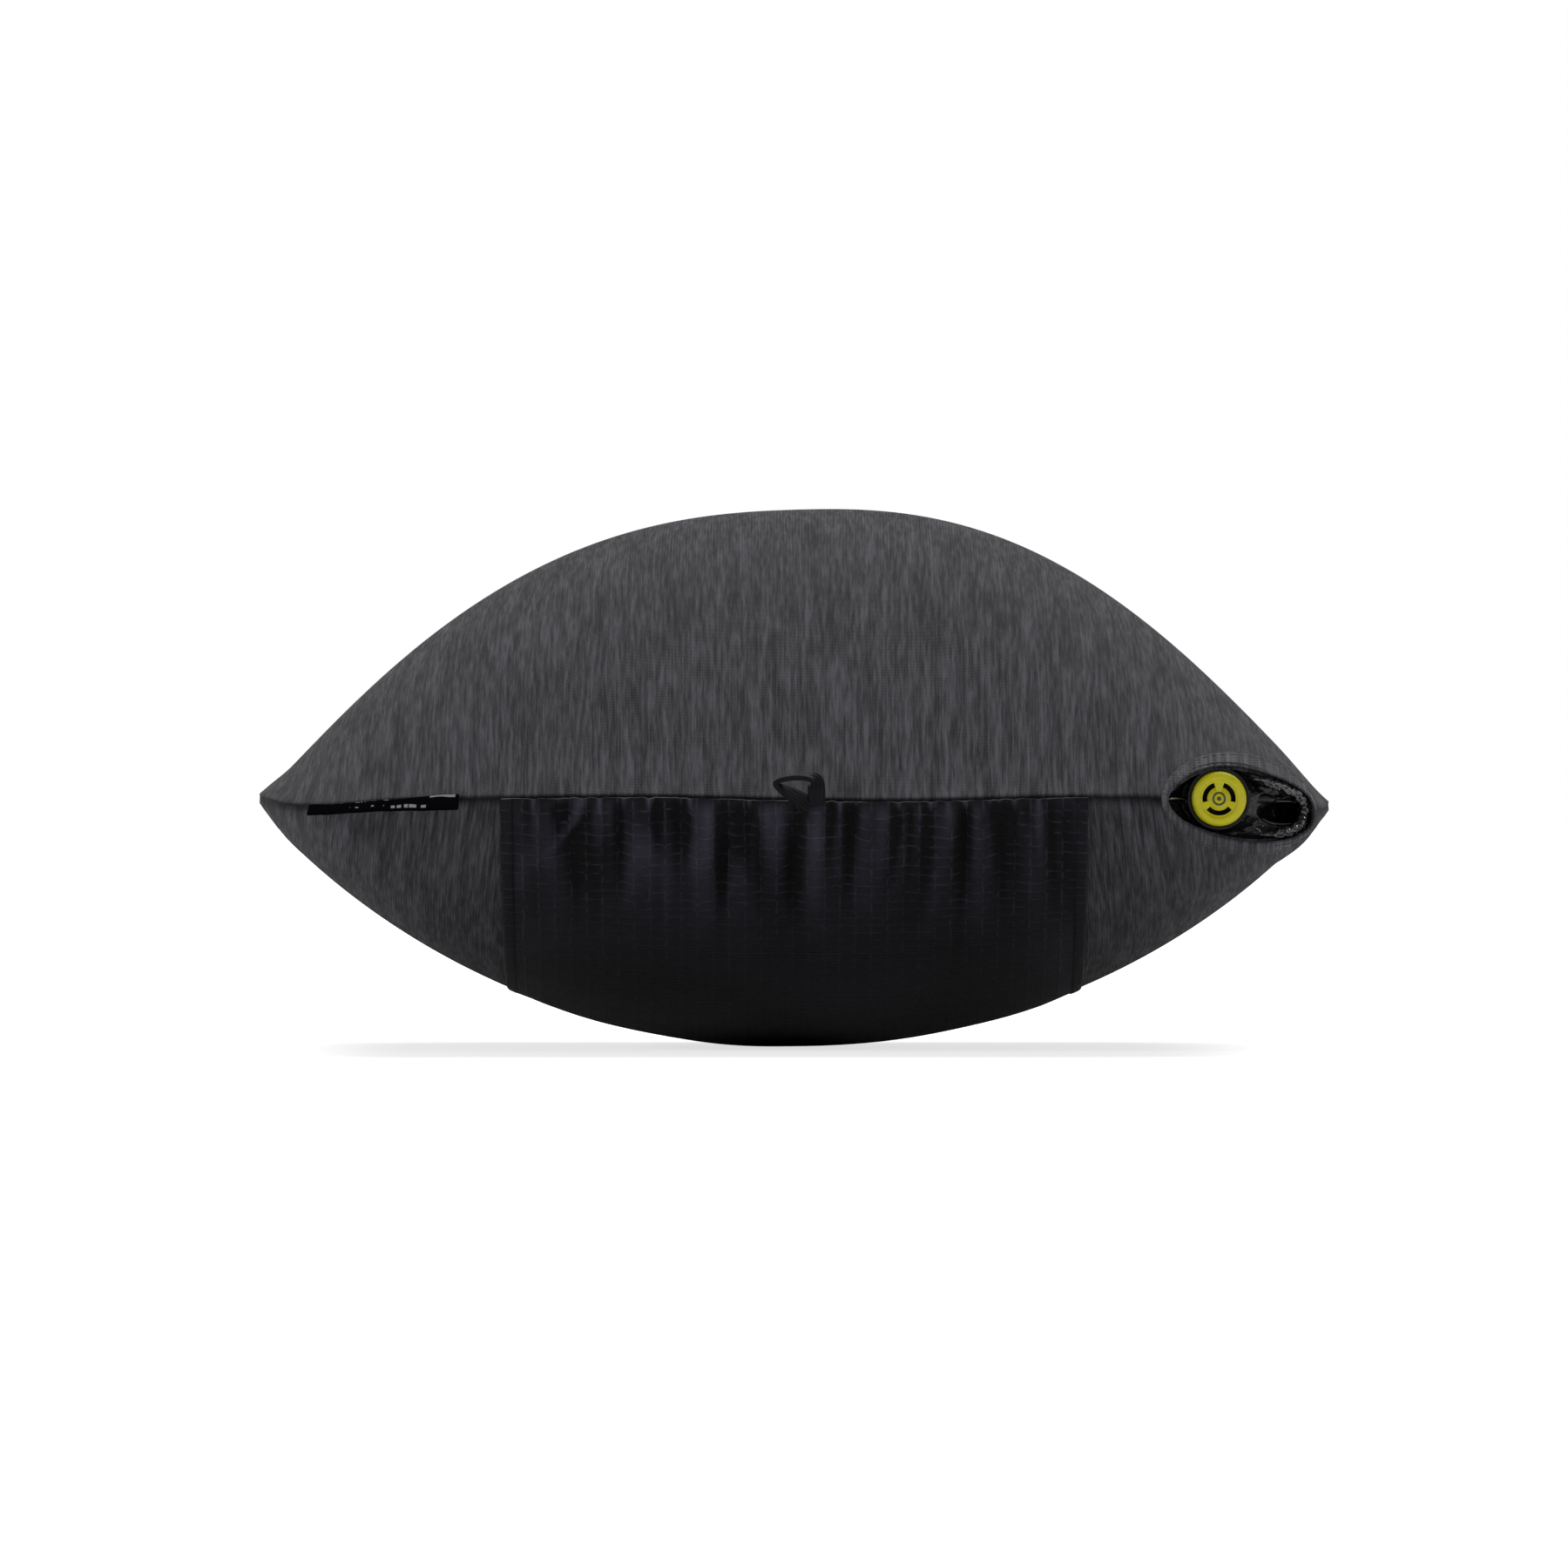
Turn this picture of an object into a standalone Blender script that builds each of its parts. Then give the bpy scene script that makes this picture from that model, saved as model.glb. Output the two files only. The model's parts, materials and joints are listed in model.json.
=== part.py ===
"""Camp pillow: an air core with a push valve, a foam topper and a knitted cover with its own stuff sack.

The pillow lies on the XY plane, its underside slightly flattened there, with the origin in the middle of
that flat patch. X runs across the pillow, Y along it and Z up. The short side with the valve, the label and
the hang loop faces -Y.
"""

from collections import namedtuple
from math import acos, atan2, copysign, cos, hypot, pi, radians, sin

import bmesh
import bpy
from mathutils import Vector

# ---------------------------------------------------------------- driving dimensions, metres

HALF_WIDTH = 0.155  # centre line to the seam, across the pillow
HALF_LENGTH = 0.208  # centre line to the seam, along the pillow
SEAM_HEIGHT = 0.0741  # floor to the plane of the perimeter seam
CROWN = 0.0855  # seam plane to the top of the cover
FLATTEN = 0.001  # how far the resting weight presses the underside flat
PLAN_POWER = 10.0  # superellipse power of the plan outline: higher is squarer
CROWN_PLAN_POWER = 2.4  # the same for the level curves close to the crown
TOP_POWER = 2.2  # power of the upper dome's profile
BELLY_POWER = 2.4  # power of the lower dome's profile

GAP = 0.0003  # clearance between pieces that touch
KNIT = 0.0014  # the cover's laminated jersey
SACK_CLOTH = 0.0007  # the stuff sack's coated ripstop
FILM = 0.0005  # the core's coated film
TOPPER = 0.0118  # foam between the cover and the core, above only

SEGMENTS = 40  # facets round the plan of every dome
RINGS = 10  # rings from a dome's middle to its rim

SACK_HALF_WIDTH = 0.084
SACK_REACH = 0.077  # rear edge of the sack panel, behind the origin
SIDE_BINDING = 0.003  # width of the folded edge on each side of the sack
HEM_LENGTH = 0.011
HEM_THICKNESS = 0.0024
HEM_WALL = 0.0006
ELASTIC_WIDTH = 0.0056
ELASTIC_THICKNESS = 0.0006

PORT_OFFSET = 0.0045  # middle of the valve opening, towards the corner from the valve's axis
PORT_HALF_WIDTH = 0.019
PORT_RISE = 0.0125  # seam plane to the top of the opening
PORT_DROP = 0.0135  # seam plane to its bottom
PORT_POWER = 2.4  # superellipse power of its outline
PORT_TAPER = 0.08  # how much lower its left end is than its right end
PORT_DEPTH = 0.043  # how far back the opening cuts
PORT_HEM_RADIUS = 0.0008

SEAM_TAPE_START = 0.0026  # inset from the cover's rim
SEAM_TAPE_END = 0.0072
SEAM_TAPE_HALF = 0.0011
CORE_INSET = 0.0122  # cover's rim to the core's rim
WELD_BAND = 0.0042
WELD_HALF = 0.0006

BAFFLE_X = (-0.062, 0.0, 0.062)
BAFFLE_FILM = 0.0006
BAFFLE_END_GAP = 0.050  # air passage left beyond each end of a baffle

VALVE_FROM_SIDE = 0.033  # cover's side rim to the valve's axis
VALVE_INSET = 0.018  # cover's front rim to the front face of the valve's seat wall
BUTTON_RADIUS = 0.0079
BUTTON_RISE = 0.0125  # seat to the button's face
BUTTON_WALL = 0.001
BUTTON_FACE = BUTTON_WALL + 0.0003
BUTTON_FILLET = 0.0016
PRESS = 0.003  # travel of the button
SEAT_ROOM = 0.0015  # left between its skirt and the seat when it is fully in
RUNNING = 0.0003  # clearance of the button in its barrel
BARREL_WALL = 0.0007
BARREL_LIP = 0.009
BARREL_REACH = 0.014  # barrel behind the seat's front face
SEAT_WALL = 0.002
SEAT_HOLE = 0.0045
STEM_RADIUS = 0.0016
STEM_REACH = 0.0065
SLOT_INNER, SLOT_OUTER = 0.0034, 0.0049
SLOT_SWEEP = radians(84)
SLOT_CUT = 0.003  # how far its cutter reaches to either side of the face
SLOT_ANGLES = [radians(a) for a in (30, 150, 270)]
SEAL_OUTER = 0.0066
SEAL_THICKNESS = 0.001
POPPET_THICKNESS = 0.0014
CLIP_THICKNESS = 0.0006
CLIP_WIDTH = 0.0014  # from the stem to its rim
SPRING_RADIUS = 0.0032
SPRING_WIRE = 0.0003
SPRING_TURNS = 4.5
WING_HALF = (0.0170, 0.0030, 0.0050)  # weld wings: across, up, along the valve
WING_BACK = -0.0005

LABEL_FROM_SIDE = 0.0205  # cover's side rim to the label's outer end
LABEL_WIDTH = 0.036
LABEL_REACH = 0.0115
LABEL_THICKNESS = 0.0009
LABEL_RISE = 0.0016  # how much higher its inner end sits

LOOP_X = 0.0018  # middle of the hang loop's stitched foot
LOOP_HALF_WIDTH = 0.0068  # both of these to the middle of the webbing
LOOP_HALF_HEIGHT = 0.0036
RIBBON_WIDTH = 0.0052
RIBBON_THICKNESS = 0.0008

# ---------------------------------------------------------------- the domes every layer follows

Dome = namedtuple("Dome", "half_width half_length rise power side most")


def spread_of(half, height, power):
    """How far a rim moves out for each unit that its dome moves along its normal."""
    return hypot(1.0, half / (power * height))


def dome(offset, side):
    """The surface that far outside the cover's outer face: side 1 is the upper one, -1 the lower."""
    if side > 0:
        height, power = CROWN, TOP_POWER
        most = height + offset
    else:
        height, power = SEAM_HEIGHT - SACK_CLOTH - GAP + FLATTEN, BELLY_POWER
        most = height - FLATTEN + offset
    return Dome(
        HALF_WIDTH + offset * spread_of(HALF_WIDTH, height, power),
        HALF_LENGTH + offset * spread_of(HALF_LENGTH, height, power),
        height + offset,
        power,
        side,
        most,
    )


def core_dome(offset, side):
    """The surface that far outside the core's film, whose rim is inset from the cover's."""
    if side > 0:
        height = CROWN - KNIT - TOPPER - 2 * GAP
    else:
        height = SEAM_HEIGHT - SACK_CLOTH - KNIT - 2 * GAP + FLATTEN
    most = height - (0 if side > 0 else FLATTEN) + offset
    power = TOP_POWER if side > 0 else BELLY_POWER
    half_width, half_length = HALF_WIDTH - CORE_INSET, HALF_LENGTH - CORE_INSET
    return Dome(
        half_width + offset * spread_of(half_width, height, power),
        half_length + offset * spread_of(half_length, height, power),
        height + offset,
        power,
        side,
        most,
    )


def plan_point(half_width, half_length, angle, power=PLAN_POWER):
    """A point of a superellipse, at power 2 an ellipse and squarer above that."""
    c, s = cos(angle), sin(angle)
    x = half_width * copysign(abs(c) ** (2 / power), c)
    y = half_length * copysign(abs(s) ** (2 / power), s)
    return x, y


def level_power(share):
    """How square the level curve is at that share of the way from a dome's middle to its rim."""
    return CROWN_PLAN_POWER + (PLAN_POWER - CROWN_PLAN_POWER) * share**3


def dome_point(surface, share, angle):
    """A point at that share of the way from the dome's middle to its rim."""
    x, y = plan_point(surface.half_width, surface.half_length, angle, level_power(share))
    rise = min(surface.rise * (1 - share**surface.power), surface.most)
    return Vector((x * share, y * share, SEAM_HEIGHT + surface.side * (rise + GAP / 2)))


def front_y(surface, x, rise):
    """Where the dome's front stands at that x, at that rise from the seam plane."""
    share = (1 - rise / surface.rise) ** (1 / surface.power)
    power = level_power(share)
    left = 1 - abs(x / (surface.half_width * share)) ** power
    return -surface.half_length * share * left ** (1 / power)


# ---------------------------------------------------------------- scene, materials and small tools


def clear_scene():
    for obj in list(bpy.data.objects):
        bpy.data.objects.remove(obj, do_unlink=True)


def new_collection(name):
    made = bpy.data.collections.new(name)
    bpy.context.scene.collection.children.link(made)
    return made


def new_material(name, colour, roughness, metallic=0.0):
    made = bpy.data.materials.new(name)
    made.use_nodes = True
    shader = made.node_tree.nodes["Principled BSDF"]
    shader.inputs["Base Color"].default_value = (*colour, 1.0)
    shader.inputs["Roughness"].default_value = roughness
    shader.inputs["Metallic"].default_value = metallic
    return made


def add_object(name, data, material):
    made = bpy.data.objects.new(name, data)
    data.materials.append(material)
    pillow.objects.link(made)
    return made


def finish_mesh(bm, name, material, sharp=50):
    bmesh.ops.recalc_face_normals(bm, faces=bm.faces)
    mesh = bpy.data.meshes.new(name)
    bm.to_mesh(mesh)
    bm.free()
    mesh.shade_smooth()
    mesh.set_sharp_from_angle(angle=radians(sharp))
    return add_object(name, mesh, material)


def make_cutter(obj):
    """Moves a helper among the cutters, where it isn't part of the pillow."""
    pillow.objects.unlink(obj)
    cutters.objects.link(obj)
    obj.hide_render = True
    obj.display_type = "WIRE"
    return obj


def boolean(obj, other, operation):
    step = obj.modifiers.new(f"{operation.lower()}_{other.name}", "BOOLEAN")
    step.object = other
    step.operation = operation
    step.solver = "EXACT"


def box(name, low, high, material):
    bm = bmesh.new()
    bmesh.ops.create_cube(bm, size=1.0)
    low, high = Vector(low), Vector(high)
    for vertex in bm.verts:
        share = vertex.co + Vector((0.5, 0.5, 0.5))
        vertex.co = low + share * (high - low)
    return finish_mesh(bm, name, material)


def lens_shell(name, outer, inner, material):
    """A skin between two domes: a sphere whose halves become its outer and inner faces."""
    last = 2 * RINGS + 1
    bm = bmesh.new()
    bmesh.ops.create_uvsphere(bm, u_segments=SEGMENTS, v_segments=last, radius=1.0)
    for vertex in bm.verts:
        ring = round(acos(max(-1.0, min(1.0, vertex.co.z))) / pi * last)
        surface = outer if ring <= RINGS else inner
        share = sin(min(ring, last - ring) / RINGS * pi / 2)
        vertex.co = dome_point(surface, share, atan2(vertex.co.y, vertex.co.x))
    return finish_mesh(bm, name, material)


def plan_ring(name, inner, outer, half_height, material):
    """A flat band with sharp edges round the plan outline, between two insets from the cover's rim."""
    bpy.ops.mesh.primitive_torus_add(
        major_segments=SEGMENTS, minor_segments=4, major_radius=1.0, minor_radius=0.25
    )
    made = bpy.context.object
    made.name = name
    middle = (inner + outer) / 2
    for vertex in made.data.vertices:
        x, y, z = vertex.co
        across = round((hypot(x, y) - 1.0) / 0.25)
        inset = middle - across * (middle - outer)
        ring = plan_point(HALF_WIDTH - inset, HALF_LENGTH - inset, atan2(y, x))
        vertex.co = (*ring, SEAM_HEIGHT + round(z / 0.25) * half_height)
    for holder in list(made.users_collection):
        holder.objects.unlink(made)
    pillow.objects.link(made)
    made.data.materials.append(material)
    return made


def turned(name, profile, material, parent, steps=32):
    """A ring or disc turned about its parent's Z from a closed profile of (radius, height)."""
    mesh = bpy.data.meshes.new(name)
    points = [(radius, 0.0, height) for radius, height in profile]
    open_at_axis = profile[0][0] == 0 and profile[-1][0] == 0
    count = len(points) - 1 if open_at_axis else len(points)
    edges = [(i, (i + 1) % len(points)) for i in range(count)]
    mesh.from_pydata(points, edges, [])
    made = add_object(name, mesh, material)
    screw = made.modifiers.new("turn", "SCREW")
    screw.steps = screw.render_steps = steps
    screw.use_merge_vertices = True
    screw.merge_threshold = 0.00001
    screw.use_smooth_shade = False
    made.parent = parent
    return made


# ---------------------------------------------------------------- cover


def port_outline(shrink=0.0, count=28):
    """The valve opening seen from the front, as (x, height above the seam plane)."""
    middle = HALF_WIDTH - VALVE_FROM_SIDE + PORT_OFFSET
    points = []
    for i in range(count):
        turn = 2 * pi * i / count
        rise = PORT_RISE if sin(turn) > 0 else PORT_DROP
        across, up = plan_point(PORT_HALF_WIDTH - shrink, rise - shrink, turn, PORT_POWER)
        taper = 1 - PORT_TAPER * ((1 - cos(turn)) / 2) ** 2
        points.append((middle + across, up * taper))
    return points


def port_cutter(name, depth):
    outline = port_outline()
    bm = bmesh.new()
    bmesh.ops.create_circle(bm, cap_ends=True, segments=len(outline), radius=1.0)
    bm.verts.ensure_lookup_table()
    front = -HALF_LENGTH - 0.02
    for vertex, (x, rise) in zip(bm.verts, outline):
        vertex.co = (x, front, SEAM_HEIGHT + rise)
    grown = bmesh.ops.extrude_face_region(bm, geom=bm.faces[:])
    moved = [item for item in grown["geom"] if isinstance(item, bmesh.types.BMVert)]
    bmesh.ops.translate(bm, verts=moved, vec=(0, depth - HALF_LENGTH - front, 0))
    return make_cutter(finish_mesh(bm, name, knit))


def build_cover():
    """The two knitted panels, the tape that binds their seam inside, and the hem of the valve opening."""
    top = lens_shell("cover_top_panel", dome(0, 1), dome(-KNIT, 1), knit)
    bottom = lens_shell("cover_bottom_panel", dome(0, -1), dome(-KNIT, -1), knit)
    tape = plan_ring("seam_tape", SEAM_TAPE_END, SEAM_TAPE_START, SEAM_TAPE_HALF, tape_cloth)
    port = port_cutter("port_cutter", PORT_DEPTH)
    for piece in (top, bottom, tape):
        boolean(piece, port, "DIFFERENCE")
    build_port_hem()


def build_port_hem():
    """A rolled hem just inside the opening's cut edge, a closed tube that follows the cover."""
    upper, lower = dome(-KNIT / 2, 1), dome(-KNIT / 2, -1)
    curve = bpy.data.curves.new("port_hem", "CURVE")
    curve.dimensions = "3D"
    curve.bevel_depth = PORT_HEM_RADIUS
    curve.bevel_resolution = 2
    outline = port_outline(shrink=PORT_HEM_RADIUS + GAP)
    spline = curve.splines.new("POLY")
    spline.points.add(len(outline) - 1)
    spline.use_cyclic_u = True
    for point, (x, rise) in zip(spline.points, outline):
        y = front_y(upper if rise > 0 else lower, x, abs(rise))
        point.co = (x, y, SEAM_HEIGHT + rise, 1.0)
    add_object("port_hem", curve, knit)


# ---------------------------------------------------------------- stuff sack


def belly_strip(name, inner, outer, low, high, material):
    """A strip of the lower skin between two offsets from the cover, cut to a rectangle in plan."""
    strip = lens_shell(name, dome(outer, -1), dome(inner, -1), material)
    clip = box(f"{name}_clip", (*low, -0.02), (*high, SEAM_HEIGHT + 0.01), material)
    boolean(strip, make_cutter(clip), "INTERSECT")
    return strip


def build_sack():
    """The stuff sack, flat under the pillow: its panel, folded edges, and a mouth hem with its elastic."""
    front = -HALF_LENGTH - 0.02
    wide, reach = SACK_HALF_WIDTH, SACK_REACH
    outside = GAP + SACK_CLOTH
    belly_strip("sack_panel", GAP, outside, (-wide, front), (wide, reach), ripstop)
    hem_start = reach - HEM_LENGTH
    edge = outside + GAP
    for name, low, high in (("left", -wide, SIDE_BINDING - wide), ("right", wide - SIDE_BINDING, wide)):
        corner = (high, hem_start - GAP)
        belly_strip(f"sack_{name}_edge", edge, edge + SACK_CLOTH, (low, front), corner, ripstop)
    hem = belly_strip(
        "sack_mouth_hem", edge, edge + HEM_THICKNESS, (-wide, hem_start), (wide, reach), ripstop
    )
    inner = edge + (HEM_THICKNESS - ELASTIC_THICKNESS) / 2
    outer = inner + ELASTIC_THICKNESS
    middle = (hem_start + reach) / 2
    start, end = middle - ELASTIC_WIDTH / 2, middle + ELASTIC_WIDTH / 2
    tunnel_low = (-wide - GAP, start - GAP)
    tunnel_high = (wide + GAP, end + GAP)
    wall = (HEM_THICKNESS - 2 * HEM_WALL) / 2
    tunnel = belly_strip(
        "elastic_tunnel", edge + HEM_WALL, edge + HEM_WALL + 2 * wall, tunnel_low, tunnel_high, ripstop
    )
    boolean(hem, make_cutter(tunnel), "DIFFERENCE")
    belly_strip("sack_mouth_elastic", inner, outer, (-wide, start), (wide, end), elastic)


# ---------------------------------------------------------------- foam and inflatable core


def build_topper(well):
    """Foam that fills the space between the cover and the core, above the seam only."""
    foam = lens_shell("foam_topper", dome(-KNIT - GAP, 1), core_dome(GAP, 1), foam_sheet)
    clear = box(
        "foam_rim_clip",
        (-HALF_WIDTH * 2, -HALF_LENGTH * 2, SEAM_HEIGHT + SEAM_TAPE_HALF + GAP),
        (HALF_WIDTH * 2, HALF_LENGTH * 2, SEAM_HEIGHT + CROWN * 2),
        foam_sheet,
    )
    boolean(foam, make_cutter(clear), "INTERSECT")
    boolean(foam, well, "DIFFERENCE")


def build_core(valve_room):
    """The air core: two sheets of coated film, the weld band round them and the baffles between them."""
    pieces = []
    for name, side in (("top", 1), ("bottom", -1)):
        pieces.append(lens_shell(f"core_{name}_sheet", core_dome(0, side), core_dome(-FILM, side), film))
    outer = CORE_INSET - GAP - WELD_BAND
    pieces.append(plan_ring("core_weld_band", CORE_INSET - GAP, outer, WELD_HALF, film))
    for piece in pieces:
        for room in valve_room:
            boolean(piece, room, "DIFFERENCE")
    upper, lower = core_dome(-FILM - GAP, 1), core_dome(-FILM - GAP, -1)
    inside = make_cutter(lens_shell("core_inside", upper, lower, film))
    reach = HALF_LENGTH - CORE_INSET - BAFFLE_END_GAP
    for number, x in enumerate(BAFFLE_X, start=1):
        low = (x - BAFFLE_FILM / 2, -reach, -0.02)
        high = (x + BAFFLE_FILM / 2, reach, SEAM_HEIGHT + CROWN)
        web = box(f"core_baffle_{number}", low, high, film)
        boolean(web, inside, "INTERSECT")


# ---------------------------------------------------------------- valve


def valve_frame():
    """An empty on the valve's axis at its seat, with its Z pointing out of the pillow."""
    made = bpy.data.objects.new("valve_axis", None)
    made.location = (HALF_WIDTH - VALVE_FROM_SIDE, VALVE_INSET - HALF_LENGTH, SEAM_HEIGHT)
    made.rotation_euler = (radians(90), 0, 0)
    pillow.objects.link(made)
    return made


def build_valve(axis):
    bore = BUTTON_RADIUS + RUNNING
    outside = bore + BARREL_WALL
    housing = turned(
        "valve_housing",
        [
            (outside, BARREL_LIP),
            (outside, -BARREL_REACH),
            (bore, -BARREL_REACH),
            (bore, -SEAT_WALL),
            (SEAT_HOLE, -SEAT_WALL),
            (SEAT_HOLE, 0.0),
            (bore, 0.0),
            (bore, BARREL_LIP),
        ],
        black_plastic,
        axis,
    )
    wings = weld_wings("weld_wings", axis)
    hollow = valve_well("wing_bore", axis, (bore + outside) / 2, BARREL_REACH)
    boolean(wings, hollow, "DIFFERENCE")
    boolean(housing, wings, "UNION")
    build_button(axis)
    seal_top = -SEAT_WALL - GAP
    poppet_top = seal_top - SEAL_THICKNESS - GAP
    poppet_end = poppet_top - POPPET_THICKNESS
    clip_top = poppet_end - GAP
    hub = STEM_RADIUS + GAP
    for name, inner, outer, top, thickness, material in (
        ("valve_seal", SEAT_HOLE + GAP, SEAL_OUTER, seal_top, SEAL_THICKNESS, silicone),
        ("valve_poppet", hub, SEAL_OUTER, poppet_top, POPPET_THICKNESS, black_plastic),
        ("stem_clip", hub, hub + CLIP_WIDTH, clip_top, CLIP_THICKNESS, steel),
    ):
        profile = [(outer, top), (outer, top - thickness), (inner, top - thickness), (inner, top)]
        turned(name, profile, material, axis, steps=24)
    build_spring(axis)


def weld_wings(name, axis, grown=0.0):
    """The pointed wings that the core's films are welded to on each side of the barrel."""
    bm = bmesh.new()
    bmesh.ops.create_uvsphere(bm, u_segments=24, v_segments=12, radius=1.0)
    bmesh.ops.scale(bm, vec=[half + grown for half in WING_HALF], verts=bm.verts)
    bmesh.ops.translate(bm, vec=(0, 0, WING_BACK), verts=bm.verts)
    wings = make_cutter(finish_mesh(bm, name, black_plastic))
    wings.parent = axis
    return wings


def build_button(axis):
    """The yellow push button: a cup with a stem, and three curved air slots through its face."""
    top, edge = BUTTON_RISE, BUTTON_RADIUS
    skirt, inner = PRESS + SEAT_ROOM, edge - BUTTON_WALL
    rim = []
    for angle in (0, pi / 6, pi / 3, pi / 2):
        rim.append((edge - BUTTON_FILLET * (1 - sin(angle)), top - BUTTON_FILLET * (1 - cos(angle))))
    button = turned(
        "valve_button",
        [
            (0.0, top),
            *rim,
            (edge, skirt),
            (inner, skirt),
            (inner, top - BUTTON_FACE),
            (STEM_RADIUS, top - BUTTON_FACE),
            (STEM_RADIUS, -STEM_REACH),
            (0.0, -STEM_REACH),
        ],
        yellow_plastic,
        axis,
        steps=40,
    )
    for number, angle in enumerate(SLOT_ANGLES, start=1):
        slot = arc_prism(f"slot_{number}", angle, top)
        slot.parent = axis
        boolean(button, slot, "DIFFERENCE")


def arc_prism(name, middle, height):
    """A curved bar round the axis, for an air slot through the button's face."""
    bm = bmesh.new()
    bmesh.ops.create_grid(bm, x_segments=9, y_segments=1, size=0.5)
    for vertex in bm.verts:
        angle = middle + vertex.co.x * SLOT_SWEEP
        radius = SLOT_INNER + (vertex.co.y + 0.5) * (SLOT_OUTER - SLOT_INNER)
        vertex.co = (radius * cos(angle), radius * sin(angle), height - SLOT_CUT)
    grown = bmesh.ops.extrude_face_region(bm, geom=bm.faces[:])
    moved = [item for item in grown["geom"] if isinstance(item, bmesh.types.BMVert)]
    bmesh.ops.translate(bm, verts=moved, vec=(0, 0, 2 * SLOT_CUT))
    return make_cutter(finish_mesh(bm, name, yellow_plastic))


def build_spring(axis):
    """The coil between the seat and the button's face that pushes the button out."""
    curve = bpy.data.curves.new("valve_spring", "CURVE")
    curve.dimensions = "3D"
    curve.bevel_depth = SPRING_WIRE
    curve.bevel_resolution = 2
    curve.use_fill_caps = True
    per_turn = 10
    count = round(SPRING_TURNS * per_turn)
    low = SPRING_WIRE + GAP
    high = BUTTON_RISE - BUTTON_FACE - SPRING_WIRE - GAP
    spline = curve.splines.new("POLY")
    spline.points.add(count)
    for i, point in enumerate(spline.points):
        turn = 2 * pi * i / per_turn
        height = low + (high - low) * i / count
        point.co = (SPRING_RADIUS * cos(turn), SPRING_RADIUS * sin(turn), height, 1.0)
    made = add_object("valve_spring", curve, steel)
    made.parent = axis


def valve_well(name, axis, radius, reach):
    """A round clearance about the valve's barrel, from outside the pillow to that far behind the seat."""
    bm = bmesh.new()
    depth = 0.05 + reach
    bmesh.ops.create_cone(bm, cap_ends=True, segments=32, radius1=radius, radius2=radius, depth=depth)
    bmesh.ops.translate(bm, vec=(0, 0, 0.05 - depth / 2), verts=bm.verts)
    well = make_cutter(finish_mesh(bm, name, film))
    well.parent = axis
    return well


# ---------------------------------------------------------------- label and hang loop


def build_label():
    """A folded satin label stitched into the front seam near its left end."""
    bm = bmesh.new()
    bmesh.ops.create_grid(bm, x_segments=9, y_segments=2, size=0.5)
    start = LABEL_FROM_SIDE - HALF_WIDTH
    for vertex in bm.verts:
        x = start + (vertex.co.x + 0.5) * LABEL_WIDTH
        out = GAP + (vertex.co.y + 0.5) * LABEL_REACH
        foot = Vector((x, rim_y(x, GAP)))
        outwards = rim_normal(x)
        place = foot + outwards * (out - GAP)
        rise = LABEL_RISE * (vertex.co.x + 0.5) * (vertex.co.y + 0.5)
        vertex.co = (place.x, place.y, SEAM_HEIGHT + rise)
    label = finish_mesh(bm, "side_label", satin)
    thick = label.modifiers.new("two_plies", "SOLIDIFY")
    thick.thickness = LABEL_THICKNESS
    thick.offset = 0.0


def rim_y(x, out=0.0):
    """The front rim's y at that x, that far outside the cover."""
    share = 1 - abs(x / (HALF_WIDTH + out)) ** PLAN_POWER
    return -(HALF_LENGTH + out) * share ** (1 / PLAN_POWER)


def rim_normal(x):
    step = 0.0005
    along = Vector((2 * step, rim_y(x + step) - rim_y(x - step))).normalized()
    return Vector((along.y, -along.x))


def build_hang_loop():
    """A short webbing loop stitched into the middle of the front seam, on an empty at its foot."""
    sack_rim = dome(GAP + SACK_CLOTH, -1).half_length
    foot = bpy.data.objects.new("loop_foot", None)
    foot.location = (LOOP_X, -sack_rim - GAP - RIBBON_WIDTH / 2, SEAM_HEIGHT)
    pillow.objects.link(foot)
    bm = bmesh.new()
    bmesh.ops.create_circle(bm, cap_ends=False, segments=20, radius=1.0)
    half = RIBBON_WIDTH / 2
    for vertex in bm.verts:
        across, up, _ = vertex.co
        rise = LOOP_HALF_HEIGHT * (1 + up) + RIBBON_THICKNESS / 2
        vertex.co = (LOOP_HALF_WIDTH * across, 0.0, rise)
    edges = bmesh.ops.extrude_edge_only(bm, edges=bm.edges[:])
    moved = [item for item in edges["geom"] if isinstance(item, bmesh.types.BMVert)]
    for vertex in moved:
        vertex.co += Vector((0, half * 2, 0))
    bmesh.ops.translate(bm, vec=(0, -half, 0), verts=bm.verts)
    loop = finish_mesh(bm, "hang_loop", webbing)
    thick = loop.modifiers.new("webbing", "SOLIDIFY")
    thick.thickness = RIBBON_THICKNESS
    thick.offset = 0.0
    loop.parent = foot


# ---------------------------------------------------------------- assembly

clear_scene()
pillow = new_collection("camp_pillow")
cutters = new_collection("cutters")
bpy.context.scene.unit_settings.system = "METRIC"

knit = new_material("heather_knit", (0.045, 0.043, 0.050), 0.9)
tape_cloth = new_material("binding_tape", (0.012, 0.012, 0.014), 0.8)
ripstop = new_material("coated_ripstop", (0.008, 0.008, 0.011), 0.38)
elastic = new_material("elastic", (0.02, 0.02, 0.02), 0.7)
foam_sheet = new_material("foam", (0.55, 0.54, 0.50), 0.95)
film = new_material("coated_film", (0.02, 0.02, 0.022), 0.35)
black_plastic = new_material("black_plastic", (0.01, 0.01, 0.011), 0.3)
yellow_plastic = new_material("yellow_plastic", (0.50, 0.47, 0.01), 0.35)
silicone = new_material("silicone", (0.5, 0.5, 0.5), 0.5)
steel = new_material("spring_steel", (0.55, 0.55, 0.56), 0.3, 1.0)
satin = new_material("satin_label", (0.006, 0.006, 0.007), 0.3)
webbing = new_material("webbing", (0.008, 0.008, 0.009), 0.7)

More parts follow.
